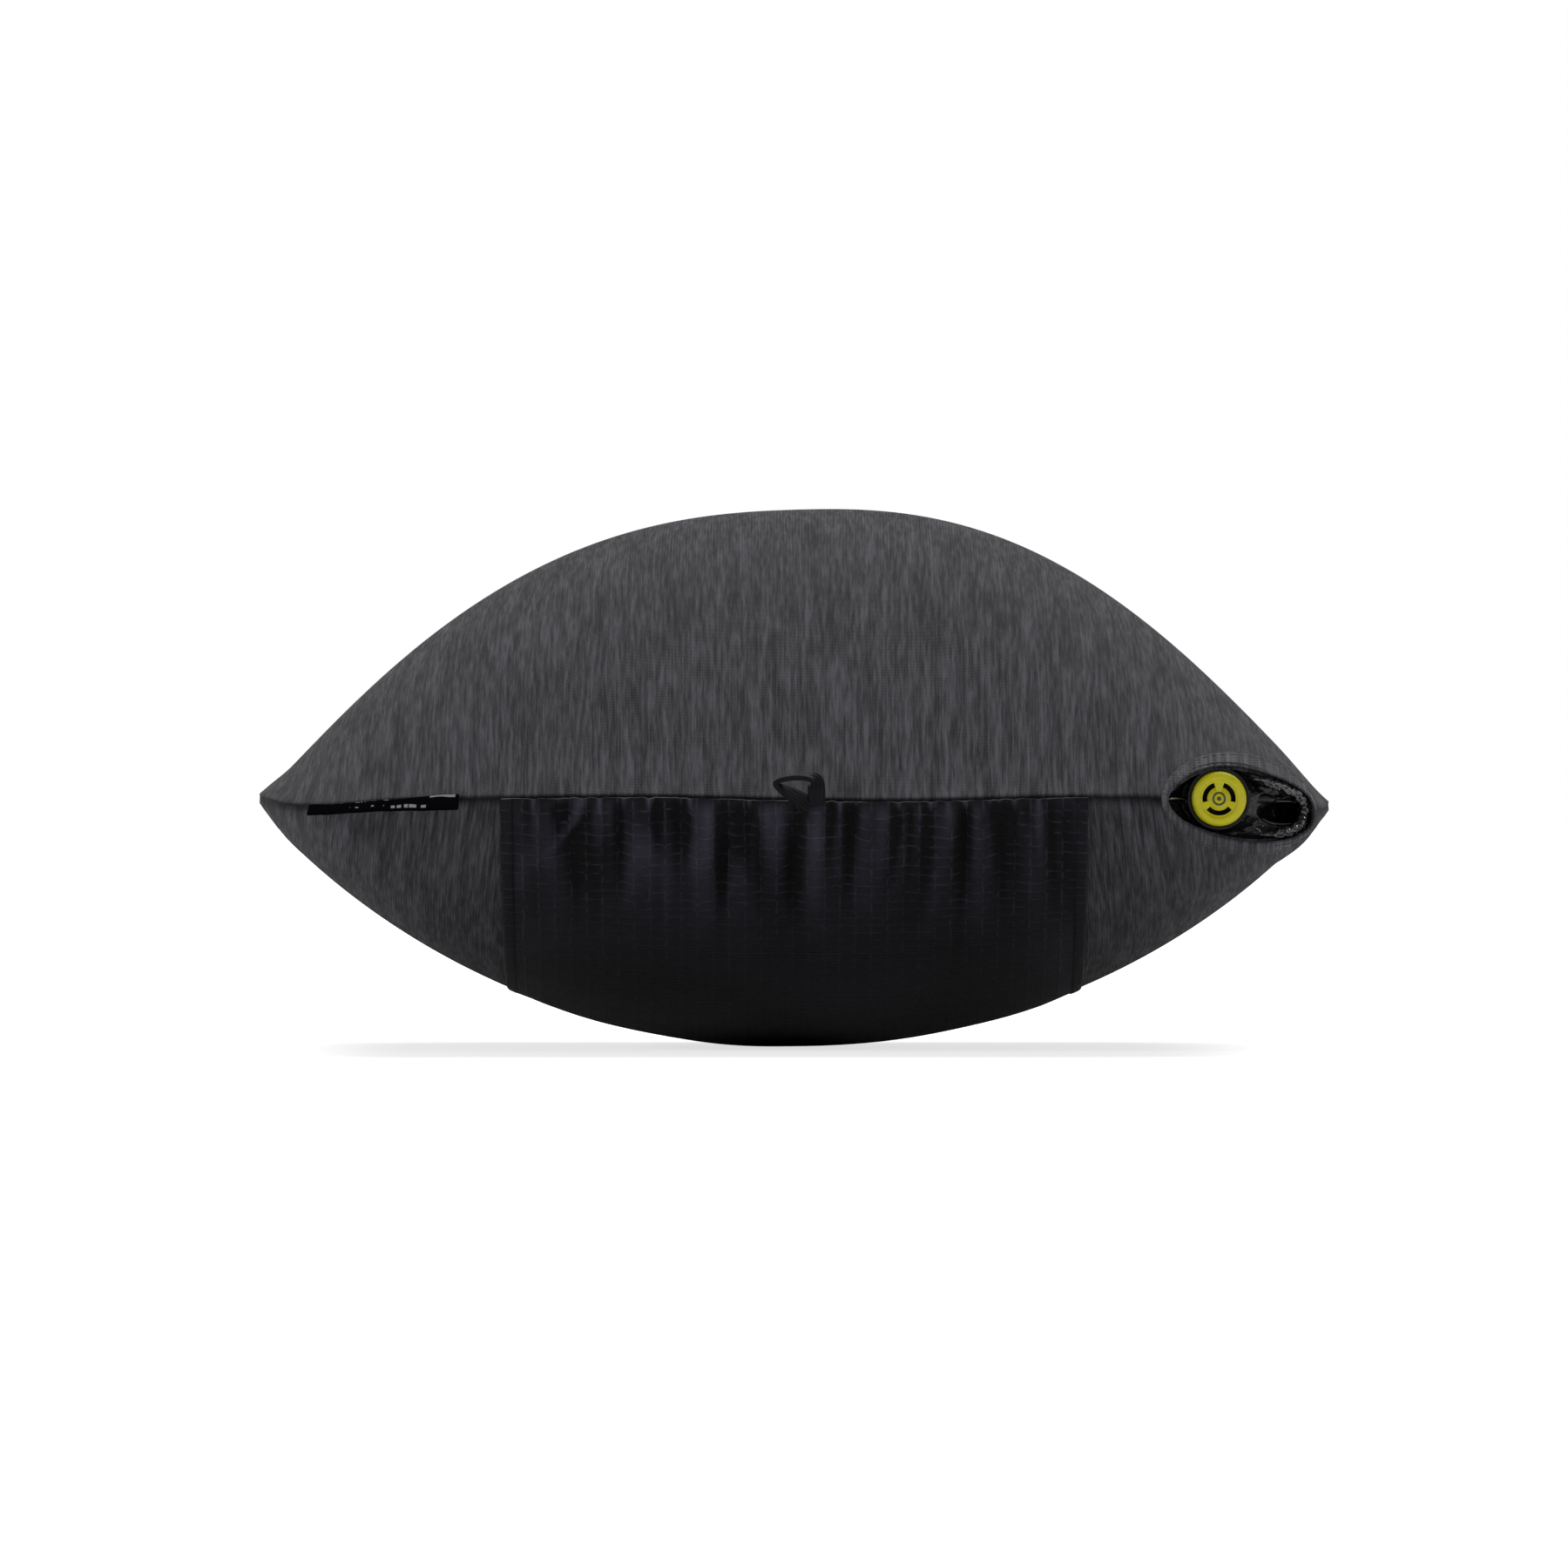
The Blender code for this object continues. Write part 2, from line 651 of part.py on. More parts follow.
build_cover()
build_sack()
valve_axis = valve_frame()
barrel = BUTTON_RADIUS + RUNNING + BARREL_WALL
barrel_room = valve_well("barrel_room", valve_axis, barrel + GAP, BARREL_REACH + GAP)
wing_room = weld_wings("wing_room", valve_axis, GAP * 1.5)
foam_well = port_cutter("foam_well", PORT_DEPTH)
build_topper(foam_well)
build_core((barrel_room, wing_room))
build_valve(valve_axis)
build_label()
build_hang_loop()
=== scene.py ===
"""Looks of the inflated camp pillow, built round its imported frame.

The sections follow the pillow as it is put together, from the air core outwards. Sizes are in metres. X runs
across the pillow, Y along it and Z up. The short side with the valve, the label and the hang loop faces -Y.
"""

import cmath
import json
from math import cos, exp, hypot, pi, radians, sin, sqrt, tau
from random import Random

import bmesh
import bpy
import numpy as np
from mathutils import Matrix, Vector, noise


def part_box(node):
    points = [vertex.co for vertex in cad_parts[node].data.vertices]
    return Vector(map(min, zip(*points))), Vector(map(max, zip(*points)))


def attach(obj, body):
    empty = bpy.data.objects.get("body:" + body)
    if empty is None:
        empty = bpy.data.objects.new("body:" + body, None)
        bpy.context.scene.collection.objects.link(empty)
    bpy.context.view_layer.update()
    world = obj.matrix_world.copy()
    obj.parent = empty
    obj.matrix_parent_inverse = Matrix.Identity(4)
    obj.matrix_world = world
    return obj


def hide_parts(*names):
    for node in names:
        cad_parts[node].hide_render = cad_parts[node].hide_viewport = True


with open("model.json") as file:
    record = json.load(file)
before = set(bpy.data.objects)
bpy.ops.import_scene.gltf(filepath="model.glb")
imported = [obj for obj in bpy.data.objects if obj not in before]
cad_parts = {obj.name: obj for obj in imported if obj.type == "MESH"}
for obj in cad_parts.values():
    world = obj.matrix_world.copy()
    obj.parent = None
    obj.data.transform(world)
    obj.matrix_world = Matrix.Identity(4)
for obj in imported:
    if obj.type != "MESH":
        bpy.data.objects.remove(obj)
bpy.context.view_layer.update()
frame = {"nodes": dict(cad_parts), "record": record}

# ---------------------------------------------------------------- air core
# Two sheets of coated film are welded together round their rim, with three webs welded between them that
# hold the core flat when it is blown up. It fills the cover, so these pieces keep their plain shape and take
# the film's finish.


def add_node(tree, kind, inputs=None, **settings):
    """A node with its settings, and each input given a value or linked to another node's output."""
    made = tree.nodes.new(kind)
    for name, value in settings.items():
        setattr(made, name, value)
    for socket, value in (inputs or {}).items():
        if isinstance(value, bpy.types.NodeSocket):
            tree.links.new(value, made.inputs[socket])
        else:
            made.inputs[socket].default_value = value
    return made


def calculate(tree, operation, first, second=0.0, third=0.0):
    """The output of a Math node."""
    return add_node(tree, "ShaderNodeMath", {0: first, 1: second, 2: third}, operation=operation).outputs[0]


def new_group(name, inputs, outputs):
    """An empty shader group with its sockets, and its input and output nodes."""
    group = bpy.data.node_groups.new(name, "ShaderNodeTree")
    for title, kind, value in inputs:
        socket = group.interface.new_socket(name=title, in_out="INPUT", socket_type=kind)
        if value is not None:
            socket.default_value = value
    for title, kind in outputs:
        group.interface.new_socket(name=title, in_out="OUTPUT", socket_type=kind)
    return group, group.nodes.new("NodeGroupInput").outputs, group.nodes.new("NodeGroupOutput")


def new_material(name, **constants):
    """A material and its Principled shader, with the sockets that are the same all over it already set."""
    made = bpy.data.materials.new(name)
    made.use_nodes = True
    shader = made.node_tree.nodes["Principled BSDF"]
    for socket, value in constants.items():
        shader.inputs[socket.replace("_", " ")].default_value = value
    return made, made.node_tree, shader


def scaled(tree, vector, factor):
    """A vector or a colour times a number."""
    return add_node(tree, "ShaderNodeVectorMath", {0: vector, "Scale": factor}, operation="SCALE").outputs[0]


def noise_at(tree, vector, scale, detail):
    """A Noise node."""
    return add_node(tree, "ShaderNodeTexNoise", {"Vector": vector, "Scale": scale, "Detail": detail})


def strayed(tree, vector, source, distance):
    """A vector moved about by the colour of a Noise node, by up to that distance."""
    stray = scaled(tree, source.outputs["Color"], distance)
    return add_node(tree, "ShaderNodeVectorMath", {0: vector, 1: stray}, operation="ADD").outputs[0]


def place_group(tree, group, inputs):
    """The outputs of a group put into a tree."""
    return add_node(tree, "ShaderNodeGroup", inputs, node_tree=group).outputs


def relief(tree, shader, height, depth, strength=1.0):
    """Turns a height between 0 and 1 into relief that deep, in metres."""
    bump = add_node(tree, "ShaderNodeBump", {"Strength": strength, "Distance": depth, "Height": height})
    tree.links.new(bump.outputs["Normal"], shader.inputs["Normal"])


def position(tree, scale=(1.0, 1.0, 1.0), source="Object"):
    """The place on the piece, or on its cloth where source is UV, times a scale."""
    if source == "UV":
        place = add_node(tree, "ShaderNodeUVMap", uv_map="cloth").outputs["UV"]
    else:
        place = add_node(tree, "ShaderNodeTexCoord").outputs[source]
    return add_node(tree, "ShaderNodeMapping", {"Vector": place, "Scale": scale}).outputs["Vector"]


crinkle, given, result = new_group(
    "film_crinkle",
    [
        ("Vector", "NodeSocketVector", None),
        ("Scale", "NodeSocketFloat", 300.0),
        ("Sharpness", "NodeSocketFloat", 0.5),
    ],
    [("Height", "NodeSocketFloat"), ("Creases", "NodeSocketFloat")],
)
soft_noise = noise_at(crinkle, given["Vector"], given["Scale"], 3.0)
cells = add_node(
    crinkle,
    "ShaderNodeTexVoronoi",
    {"Vector": strayed(crinkle, given["Vector"], soft_noise, 0.004), "Scale": given["Scale"]},
    feature="DISTANCE_TO_EDGE",
)
crease = add_node(
    crinkle,
    "ShaderNodeMapRange",
    {"Value": cells.outputs["Distance"], "From Max": 0.22, "To Min": 1.0, "To Max": 0.0},
)
sharp = calculate(crinkle, "MULTIPLY", crease.outputs["Result"], given["Sharpness"])
crinkle.links.new(calculate(crinkle, "ADD", sharp, soft_noise.outputs[0]), result.inputs["Height"])
crinkle.links.new(crease.outputs["Result"], result.inputs["Creases"])

FILM_BLACK = (0.0045, 0.0045, 0.0055, 1.0)
film, tree, shader = new_material(
    "coated_film", Base_Color=FILM_BLACK, Coat_Weight=0.3, Coat_Roughness=0.12, Specular_IOR_Level=0.25
)
folds = place_group(tree, crinkle, {"Vector": position(tree), "Scale": 260.0, "Sharpness": 0.35})
film_gloss = add_node(tree, "ShaderNodeMapRange", {"Value": folds["Creases"], "To Min": 0.22, "To Max": 0.42})
tree.links.new(film_gloss.outputs["Result"], shader.inputs["Roughness"])
relief(tree, shader, folds["Height"], 0.0005, 0.6)


def refinish(name, material):
    """Gives its own material to a piece of the frame that keeps its plain shape."""
    materials = frame["nodes"][name].data.materials
    materials.clear()
    materials.append(material)


for name in ("top_sheet", "bottom_sheet", "weld_band", "baffle_1", "baffle_2", "baffle_3"):
    refinish("core_" + name, film)

# ---------------------------------------------------------------- valve
# The core is blown up and let down through a push valve in one corner: a black moulded barrel with weld
# wings, and inside it a yellow button on a stem, held out by a coil spring, whose poppet and silicone seal
# close the seat.

moulded, given, result = new_group(
    "moulded_surface",
    [
        ("Vector", "NodeSocketVector", None),
        ("Colour", "NodeSocketColor", (0.5, 0.5, 0.5, 1.0)),
        ("Roughness", "NodeSocketFloat", 0.4),
        ("Grain", "NodeSocketFloat", 4000.0),
    ],
    [("Colour", "NodeSocketColor"), ("Roughness", "NodeSocketFloat"), ("Height", "NodeSocketFloat")],
)
grain = noise_at(moulded, given["Vector"], given["Grain"], 2.0)
handled = noise_at(moulded, given["Vector"], 420.0, 4.0).outputs[0]
tone = add_node(moulded, "ShaderNodeMapRange", {"Value": handled, "To Min": 0.86, "To Max": 1.1})
wear = add_node(moulded, "ShaderNodeMapRange", {"Value": handled, "To Min": -0.06, "To Max": 0.09})
worn_roughness = calculate(moulded, "ADD", given["Roughness"], wear.outputs[0])
moulded.links.new(scaled(moulded, given["Colour"], tone.outputs[0]), result.inputs["Colour"])
moulded.links.new(worn_roughness, result.inputs["Roughness"])
moulded.links.new(grain.outputs[0], result.inputs["Height"])


def moulding(name, colour, roughness, grain, depth, **constants):
    """A plastic, rubber or drawn metal with a fine surface grain and slight handling marks."""
    made, tree, shader = new_material(name, **constants)
    surface = place_group(
        tree,
        moulded,
        {"Vector": position(tree), "Colour": (*colour, 1.0), "Roughness": roughness, "Grain": grain},
    )
    tree.links.new(surface["Colour"], shader.inputs["Base Color"])
    tree.links.new(surface["Roughness"], shader.inputs["Roughness"])
    relief(tree, shader, surface["Height"], depth)
    return made


black_plastic = moulding(
    "black_plastic", (0.005, 0.005, 0.006), 0.28, 5000.0, 0.00002, Specular_IOR_Level=0.3
)
yellow_plastic = moulding(
    "yellow_plastic", (0.46, 0.425, 0.004), 0.36, 4500.0, 0.00002, Specular_IOR_Level=0.35
)
silicone = moulding("silicone", (0.42, 0.42, 0.42), 0.5, 2500.0, 0.00001)
spring_steel = moulding("spring_steel", (0.55, 0.55, 0.56), 0.28, 6000.0, 0.00001, Metallic=1.0)

for name, finish in (
    ("valve_housing", black_plastic),
    ("valve_poppet", black_plastic),
    ("valve_seal", silicone),
    ("valve_spring", spring_steel),
    ("stem_clip", spring_steel),
):
    refinish(name, finish)


def finish_piece(bm, name, material, smooth_below=40):
    """Closes a bmesh into an object with smooth shading and one material."""
    mesh = bpy.data.meshes.new(name)
    bm.to_mesh(mesh)
    bm.free()
    mesh.materials.append(material)
    mesh.shade_smooth()
    mesh.set_sharp_from_angle(angle=radians(smooth_below))
    made = bpy.data.objects.new(name, mesh)
    bpy.context.scene.collection.objects.link(made)
    return made


def apply_modifiers(piece):
    """Makes the piece's modified shape its own mesh."""
    shaped = bpy.data.meshes.new_from_object(piece.evaluated_get(bpy.context.evaluated_depsgraph_get()))
    piece.modifiers.clear()
    piece.data = shaped


button_low, button_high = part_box("valve_button")
valve_x = (button_low.x + button_high.x) / 2
valve_z = (button_low.z + button_high.z) / 2
valve_face_y = button_low.y
button_radius = (button_high.x - button_low.x) / 2
button_length = button_high.y - button_low.y
STEM_RADIUS = 0.0016
BUTTON_WALL = 0.001
# Radius and depth behind the face: a dished plate, a rounded rim, the skirt, and the stem inside it.
button_profile = [
    (0.0, 0.00045),
    (0.0048, 0.00055),
    (0.0053, 0.00045),
    (0.0056, 0.00012),
    (0.0060, 0.0),
    (0.0068, 0.00008),
    (0.0074, 0.00042),
    (button_radius - 0.0001, 0.0011),
    (button_radius, 0.0018),
    (button_radius, 0.0080),
    (button_radius - BUTTON_WALL, 0.0080),
    (button_radius - BUTTON_WALL, 0.0014),
    (STEM_RADIUS, 0.0014),
    (STEM_RADIUS, button_length),
    (0.0, button_length),
]


def spin_round(bm, geometry, steps):
    """Turns a section once round the upright axis."""
    middle = (0, 0, 0)
    bmesh.ops.spin(
        bm, geom=geometry, cent=middle, axis=(0, 0, 1), dvec=middle, angle=tau, steps=steps, use_merge=True
    )


bm = bmesh.new()
outline = [bm.verts.new((radius, 0.0, -depth)) for radius, depth in button_profile]
spin_round(bm, outline + [bm.edges.new(pair) for pair in zip(outline, outline[1:])], 96)
bmesh.ops.remove_doubles(bm, verts=bm.verts, dist=0.00001)
bmesh.ops.recalc_face_normals(bm, faces=bm.faces)
valve_button = finish_piece(bm, "push_button", yellow_plastic, 35)

# Three curved slots for the air are cut through the plate.
SLOT_INNER, SLOT_OUTER = 0.0034, 0.0048
for middle, sweep in ((30, 84), (150, 84), (270, 98)):
    bm = bmesh.new()
    bmesh.ops.create_grid(bm, x_segments=16, y_segments=1, size=0.5)
    for vertex in bm.verts:
        angle = radians(middle) + vertex.co.x * radians(sweep)
        radius = SLOT_INNER + (vertex.co.y + 0.5) * (SLOT_OUTER - SLOT_INNER)
        vertex.co = (radius * cos(angle), radius * sin(angle), 0.001)
    grown = bmesh.ops.extrude_face_region(bm, geom=bm.faces[:])
    moved = [item for item in grown["geom"] if isinstance(item, bmesh.types.BMVert)]
    bmesh.ops.translate(bm, verts=moved, vec=(0, 0, -0.004))
    bmesh.ops.recalc_face_normals(bm, faces=bm.faces)
    slot_cutter = finish_piece(bm, "slot_cutter", yellow_plastic)
    cut = valve_button.modifiers.new("slot", "BOOLEAN")
    cut.object = slot_cutter
    cut.operation = "DIFFERENCE"
    cut.solver = "EXACT"
    apply_modifiers(valve_button)
    bpy.data.objects.remove(slot_cutter)
valve_place = Matrix.Translation((valve_x, valve_face_y, valve_z)) @ Matrix.Rotation(radians(90), 4, "X")
valve_button.data.transform(valve_place)
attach(valve_button, "valve_button")
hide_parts("valve_button")

# A small raised ring with a dot marks the middle of the button.
RING_RADIUS, RING_TUBE, DOT_RADIUS = 0.0017, 0.00030, 0.00062
MARK_DEPTH = 0.00045  # of the plate's middle, behind the button's face
bm = bmesh.new()
section_place = Matrix.Translation((RING_RADIUS, 0, 0)) @ Matrix.Rotation(radians(90), 4, "X")
section = bmesh.ops.create_circle(bm, segments=10, radius=RING_TUBE, matrix=section_place)
spin_round(bm, section["verts"] + bm.edges[:], 40)
bmesh.ops.create_uvsphere(bm, u_segments=16, v_segments=8, radius=DOT_RADIUS)
bmesh.ops.remove_doubles(bm, verts=bm.verts, dist=0.000001)
bmesh.ops.recalc_face_normals(bm, faces=bm.faces)
bmesh.ops.translate(bm, verts=bm.verts, vec=(0, 0, -MARK_DEPTH))
emblem_ink = moulding("dark_mark", (0.05, 0.05, 0.012), 0.45, 3000.0, 0.00001)
emblem = finish_piece(bm, "button_mark", emblem_ink)
emblem.data.transform(valve_place)
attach(emblem, "valve_button")

# ---------------------------------------------------------------- foam topper
# A sheet of open-cell foam lies between the core and the upper panel, glued to the core along its edge. It
# is what makes the upper side smooth and fuller than the lower side.

top_low, top_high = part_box("cover_top_panel")
bottom_low, bottom_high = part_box("cover_bottom_panel")
SEAM_Z = (top_low.z + bottom_high.z) / 2
HALF_WIDTH = top_high.x + 0.0002
HALF_LENGTH = top_high.y
CROWN = top_high.z - SEAM_Z
BELLY = SEAM_Z - bottom_low.z - 0.0006
# For the upper side, 1, and the lower side, -1: the rise, the power, and the power of the whole curve.
PROFILES = {1: (CROWN, 2.47, 1.165), -1: (BELLY, 2.16, 0.87)}


def level_power(share):
    """How square the pillow's level curve is at that share of the way from its middle to its seam."""
    return 2.4 + 7.6 * share**3


def rise_at(side, share):
    """How far a panel stands from the seam's plane at that share of the way to the seam."""
    rise, inner, outer = PROFILES[side]
    return rise * max(0.0, 1 - share**inner) ** outer


def share_at(side, height):
    """The share of the way to the seam at which a panel stands that far from the seam's plane."""
    rise, inner, outer = PROFILES[side]
    return max(0.0, 1 - (height / rise) ** (1 / outer)) ** (1 / inner)


def side_bulge(y):
    """How much wider the pillow is there than at its corners."""
    return 1 + 0.016 * max(0.0, 1 - (y / HALF_LENGTH) ** 2)


def smooth(value):
    """An even rise from 0 to 1 that starts and ends level."""
    value = min(1.0, max(0.0, value))
    return value * value * (3 - 2 * value)


def settle(point, side, height):
    """Lets a point of the blown up shape take the small lean and sag that the pillow has."""
    x, y, z = point
    lean = 0.0015 * sin(pi * max(-1.0, min(1.0, x / HALF_WIDTH)))
    if side > 0:
        z += lean * height / CROWN
    near_seam = exp(-height / 0.03)
    front = smooth((-0.11 - y) / 0.06)
    corner = -0.0028 * smooth((x - 0.098) / 0.050)
    label_sag = -0.0017 * exp(-(((x + 0.136) / 0.017) ** 2))
    wander = 0.0011 * noise.noise(Vector((x * 14, y * 9, 0.3)))
    right_end = -0.0015 * smooth((x - 0.140) / 0.014) * (1 - front)
    left_end = 0.0013 * smooth((-0.146 - x) / 0.008)
    z += near_seam * (front * (corner + label_sag) + right_end + left_end + wander)
    x -= 0.0012 * front * smooth((x - 0.145) / 0.009)
    return Vector((x, y, z))


def pillow_point(side, across, along, inset=0.0):
    """The pillow's shape. Across and along run from -1 to 1 between its seams, and inset goes inwards."""
    share = max(abs(across), abs(along))
    c, d = (across / share, along / share) if share > 0 else (1.0, 0.0)
    power = level_power(share)
    reach = share / (abs(c) ** power + abs(d) ** power) ** (1 / power)
    y = (HALF_LENGTH - 1.7 * inset) * reach * d
    x = (HALF_WIDTH - 1.5 * inset) * reach * c * side_bulge(y)
    height = max(0.0, rise_at(side, share) - inset)
    z = SEAM_Z + side * height
    return settle((x, y, z), side, height), share, height


def seam_spacing(value):
    """Spreads a grid's lines so that they close up towards the seam."""
    return 0.4 * value + 0.6 * sin(value * pi / 2)


def panel_grid(columns, rows):
    """A flat square sheet from -1 to 1 whose lines close up towards its edges."""
    bm = bmesh.new()
    bmesh.ops.create_grid(bm, x_segments=columns, y_segments=rows, size=1.0)
    for vertex in bm.verts:
        vertex.co = (seam_spacing(vertex.co.x), seam_spacing(vertex.co.y), 0.0)
    return bm


foam, tree, shader = new_material("foam", Roughness=0.95)
cells = add_node(tree, "ShaderNodeTexVoronoi", {"Vector": position(tree), "Scale": 900.0})
from_middle = cells.outputs["Distance"]
foam_colour = add_node(tree, "ShaderNodeMapRange", {"Value": from_middle, "To Min": 0.55, "To Max": 0.3})
tree.links.new(foam_colour.outputs[0], shader.inputs["Base Color"])
relief(tree, shader, from_middle, 0.0004)


def thicken(piece, thickness, offset=0.0):
    """Gives a sheet its thickness: half to each side of it, or all of it inwards at an offset of -1."""
    wall = piece.modifiers.new("wall", "SOLIDIFY")
    wall.thickness = thickness
    wall.offset = offset
    apply_modifiers(piece)


FOAM_INSET, FOAM_THICKNESS = 0.0022, 0.010
FOAM_SHARE = 0.90  # how much of the way to the seam the foam reaches
bm = panel_grid(48, 64)
for vertex in bm.verts:
    vertex.co = pillow_point(1, vertex.co.x * FOAM_SHARE, vertex.co.y * FOAM_SHARE, FOAM_INSET)[0]
foam_topper = finish_piece(bm, "foam_sheet", foam)
thicken(foam_topper, FOAM_THICKNESS, -1.0)
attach(foam_topper, "pillow")
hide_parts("foam_topper")

# ---------------------------------------------------------------- knitted cover
# Two panels of charcoal heather jersey, laminated to a thin backing, are sewn together in one seam all the
# way round and turned right side out. The valve's corner of the seam is left open, and the button pushes it
# into an eye shape.

PORT_X, PORT_HALF = valve_x + 0.0067, 0.0216
PORT_DEPTH_SHARE = 0.45  # how far an edge of the opening moves back for each metre that it moves up or down
TOP_LID, BOTTOM_LID = 0.0114, 0.0101


def lid(side, turn):
    """How far the opening's edge is pulled from the seam. Its right end is at turn 0, its left end at pi."""
    blunt = sqrt(sin(turn)) * max(0.0, cos(turn)) ** 3
    if side > 0:
        return TOP_LID * sin(turn) ** 1.4 * (1 - 0.12 * cos(turn)) + 0.0026 * blunt
    return BOTTOM_LID * sin(turn) ** 1.05 * (1 + 0.04 * cos(turn)) + 0.0022 * blunt


def open_port(point, side, turn, spread):
    """Moves the cloth round the slit in the seam as the slit is pushed open. Spread is 1 along the slit."""
    front = smooth((-0.140 - point.y) / 0.03)
    moved = lid(side, turn) * spread**-2 * front
    return point + Vector((0, PORT_DEPTH_SHARE * moved, side * moved))


def turn_and_spread(x, height):
    """Where a point of the closed front lies round the slit: the angle and size of the ellipse through it."""
    place = complex(x - PORT_X, max(height, 1e-7)) / PORT_HALF
    turned = place + cmath.sqrt(place - 1) * cmath.sqrt(place + 1)
    return min(pi, max(0.0, cmath.phase(turned))), max(1.0, abs(turned))


SEAM_PULL, SEAM_PULL_WIDTH = 0.0015, 0.0013


def cover_point(side, across, along):
    """A point of a cover panel, which is drawn in along its seam and round the valve's opening."""
    point, share, height = pillow_point(side, across, along)
    pull = max(0.0, 1 - (1 - share) * HALF_WIDTH / SEAM_PULL_WIDTH) ** 2
    if pull:
        flat = Vector((point.x, point.y, 0)).normalized()
        point -= flat * SEAM_PULL * pull
    if point.y < -0.14 and point.x > 0.05:
        turn, spread = turn_and_spread(point.x, height)
        point = open_port(point, side, turn, spread)
    return point


def cloth_place(side, point):
    """Where a point of a panel lay on the flat cloth, whose ribs run along Y."""
    rise = PROFILES[side][0]
    height = abs(point.z - SEAM_Z)
    fall = rise - height
    a, b = abs(point.x / HALF_WIDTH), abs(point.y / HALF_LENGTH)
    sideways = a**4 / (a**4 + b**4 + 1e-9)
    converge = 1 - (0.12 if side < 0 else 0.03) * height / rise
    u = point.x * converge + (0.3 * fall * sideways if point.x > 0 else -0.3 * fall * sideways)
    v = point.y + (0.55 if point.y > 0 else -0.55) * fall * (1 - sideways)
    return u, v


def lay_out(piece, places):
    """Gives a piece a UV map, in metres of cloth, from the place of each of its vertices on the cloth."""
    layer = piece.data.uv_layers.new(name="cloth")
    for loop in piece.data.loops:
        layer.data[loop.index].uv = places[loop.vertex_index]


def two_colours(tree, value, dark, light, start=0.0, stop=1.0):
    """A ramp from one colour to another as the value goes from start to stop."""
    made = add_node(tree, "ShaderNodeValToRGB", {"Fac": value})
    for element, place, colour in zip(made.color_ramp.elements, (start, stop), (dark, light)):
        element.position = place
        element.color = (*colour, 1)
    return made


knit, tree, shader = new_material(
    "heather_knit", Roughness=0.9, Sheen_Weight=0.05, Sheen_Roughness=0.4, Specular_IOR_Level=0.2
)
short_streaks = add_node(
    tree,
    "ShaderNodeTexNoise",
    {"Vector": position(tree, (950.0, 62.0, 1.0), "UV"), "Scale": 1.0, "Detail": 3.0, "Roughness": 0.62},
    noise_dimensions="2D",
)
long_streaks = add_node(
    tree,
    "ShaderNodeTexNoise",
    {"Vector": position(tree, (260.0, 17.0, 1.0), "UV"), "Scale": 1.0, "Detail": 2.0, "Roughness": 0.5},
    noise_dimensions="2D",
)
short_share = calculate(tree, "MULTIPLY", short_streaks.outputs[0], 0.65)
streaks = calculate(tree, "MULTIPLY_ADD", long_streaks.outputs[0], 0.35, short_share)
yarn = two_colours(tree, streaks, (0.0135, 0.0135, 0.0162), (0.076, 0.074, 0.086), 0.36, 0.66)
middle_yarn = yarn.color_ramp.elements.new(0.5)
middle_yarn.color = (0.0375, 0.0366, 0.0425, 1)
# Painted light: an attribute scales the yarn's colour. It paints shade along the seam's groove and the hem's
# sunk outer edge, and a highlight on the hem's raised middle.
painted_shading = add_node(tree, "ShaderNodeAttribute", attribute_name="painted_shading").outputs["Fac"]
painted_shading_factor = calculate(tree, "MULTIPLY_ADD", painted_shading, -0.85, 1.0)
tree.links.new(scaled(tree, yarn.outputs["Color"], painted_shading_factor), shader.inputs["Base Color"])


def ribs_across(tree, pitch, direction="X"):
    """Even ribs on the cloth, one for each pitch."""
    inputs = {"Vector": position(tree, source="UV"), "Scale": pi / (10 * pitch)}
    return add_node(tree, "ShaderNodeTexWave", inputs, bands_direction=direction)


WALE = 0.0009  # one rib of the knit
wales = ribs_across(tree, WALE)
courses = ribs_across(tree, WALE * 0.8, "Y")
stitch_height = calculate(tree, "MULTIPLY", wales.outputs["Color"], courses.outputs["Color"])
knit_height = calculate(tree, "ADD", stitch_height, calculate(tree, "MULTIPLY", streaks, 0.8))
relief(tree, shader, knit_height, 0.00025, 0.8)

PANEL_THICKNESS = 0.0012
SEAM_SHADE_WIDTH = 0.0009  # of the painted shade along the groove that the seam leaves between the panels
for side, name, node_name in (
    (1, "upper_panel", "cover_top_panel"),
    (-1, "lower_panel", "cover_bottom_panel"),
):
    bm = panel_grid(126, 168)
    painted_shading = bm.verts.layers.float.new("painted_shading")
    for vertex in bm.verts:
        from_seam = (1 - max(abs(vertex.co.x), abs(vertex.co.y))) * HALF_WIDTH
        # Painted shade: the colour darkens towards the seam, where the cloth is drawn into a groove.
        vertex[painted_shading] = exp(-((from_seam / SEAM_SHADE_WIDTH) ** 2))
        vertex.co = cover_point(side, vertex.co.x, vertex.co.y)
    if side < 0:
        bmesh.ops.reverse_faces(bm, faces=bm.faces)
    panel = finish_piece(bm, name, knit, 80)
    lay_out(panel, [cloth_place(side, vertex.co) for vertex in panel.data.vertices])
    thicken(panel, PANEL_THICKNESS, -1.0)
    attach(panel, "pillow")
    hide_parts(node_name)

# ---------------------------------------------------------------- seam tape
# Woven tape binds the raw edges of the seam inside the cover. It runs all the way round, except across the
# opening that is left for the valve.

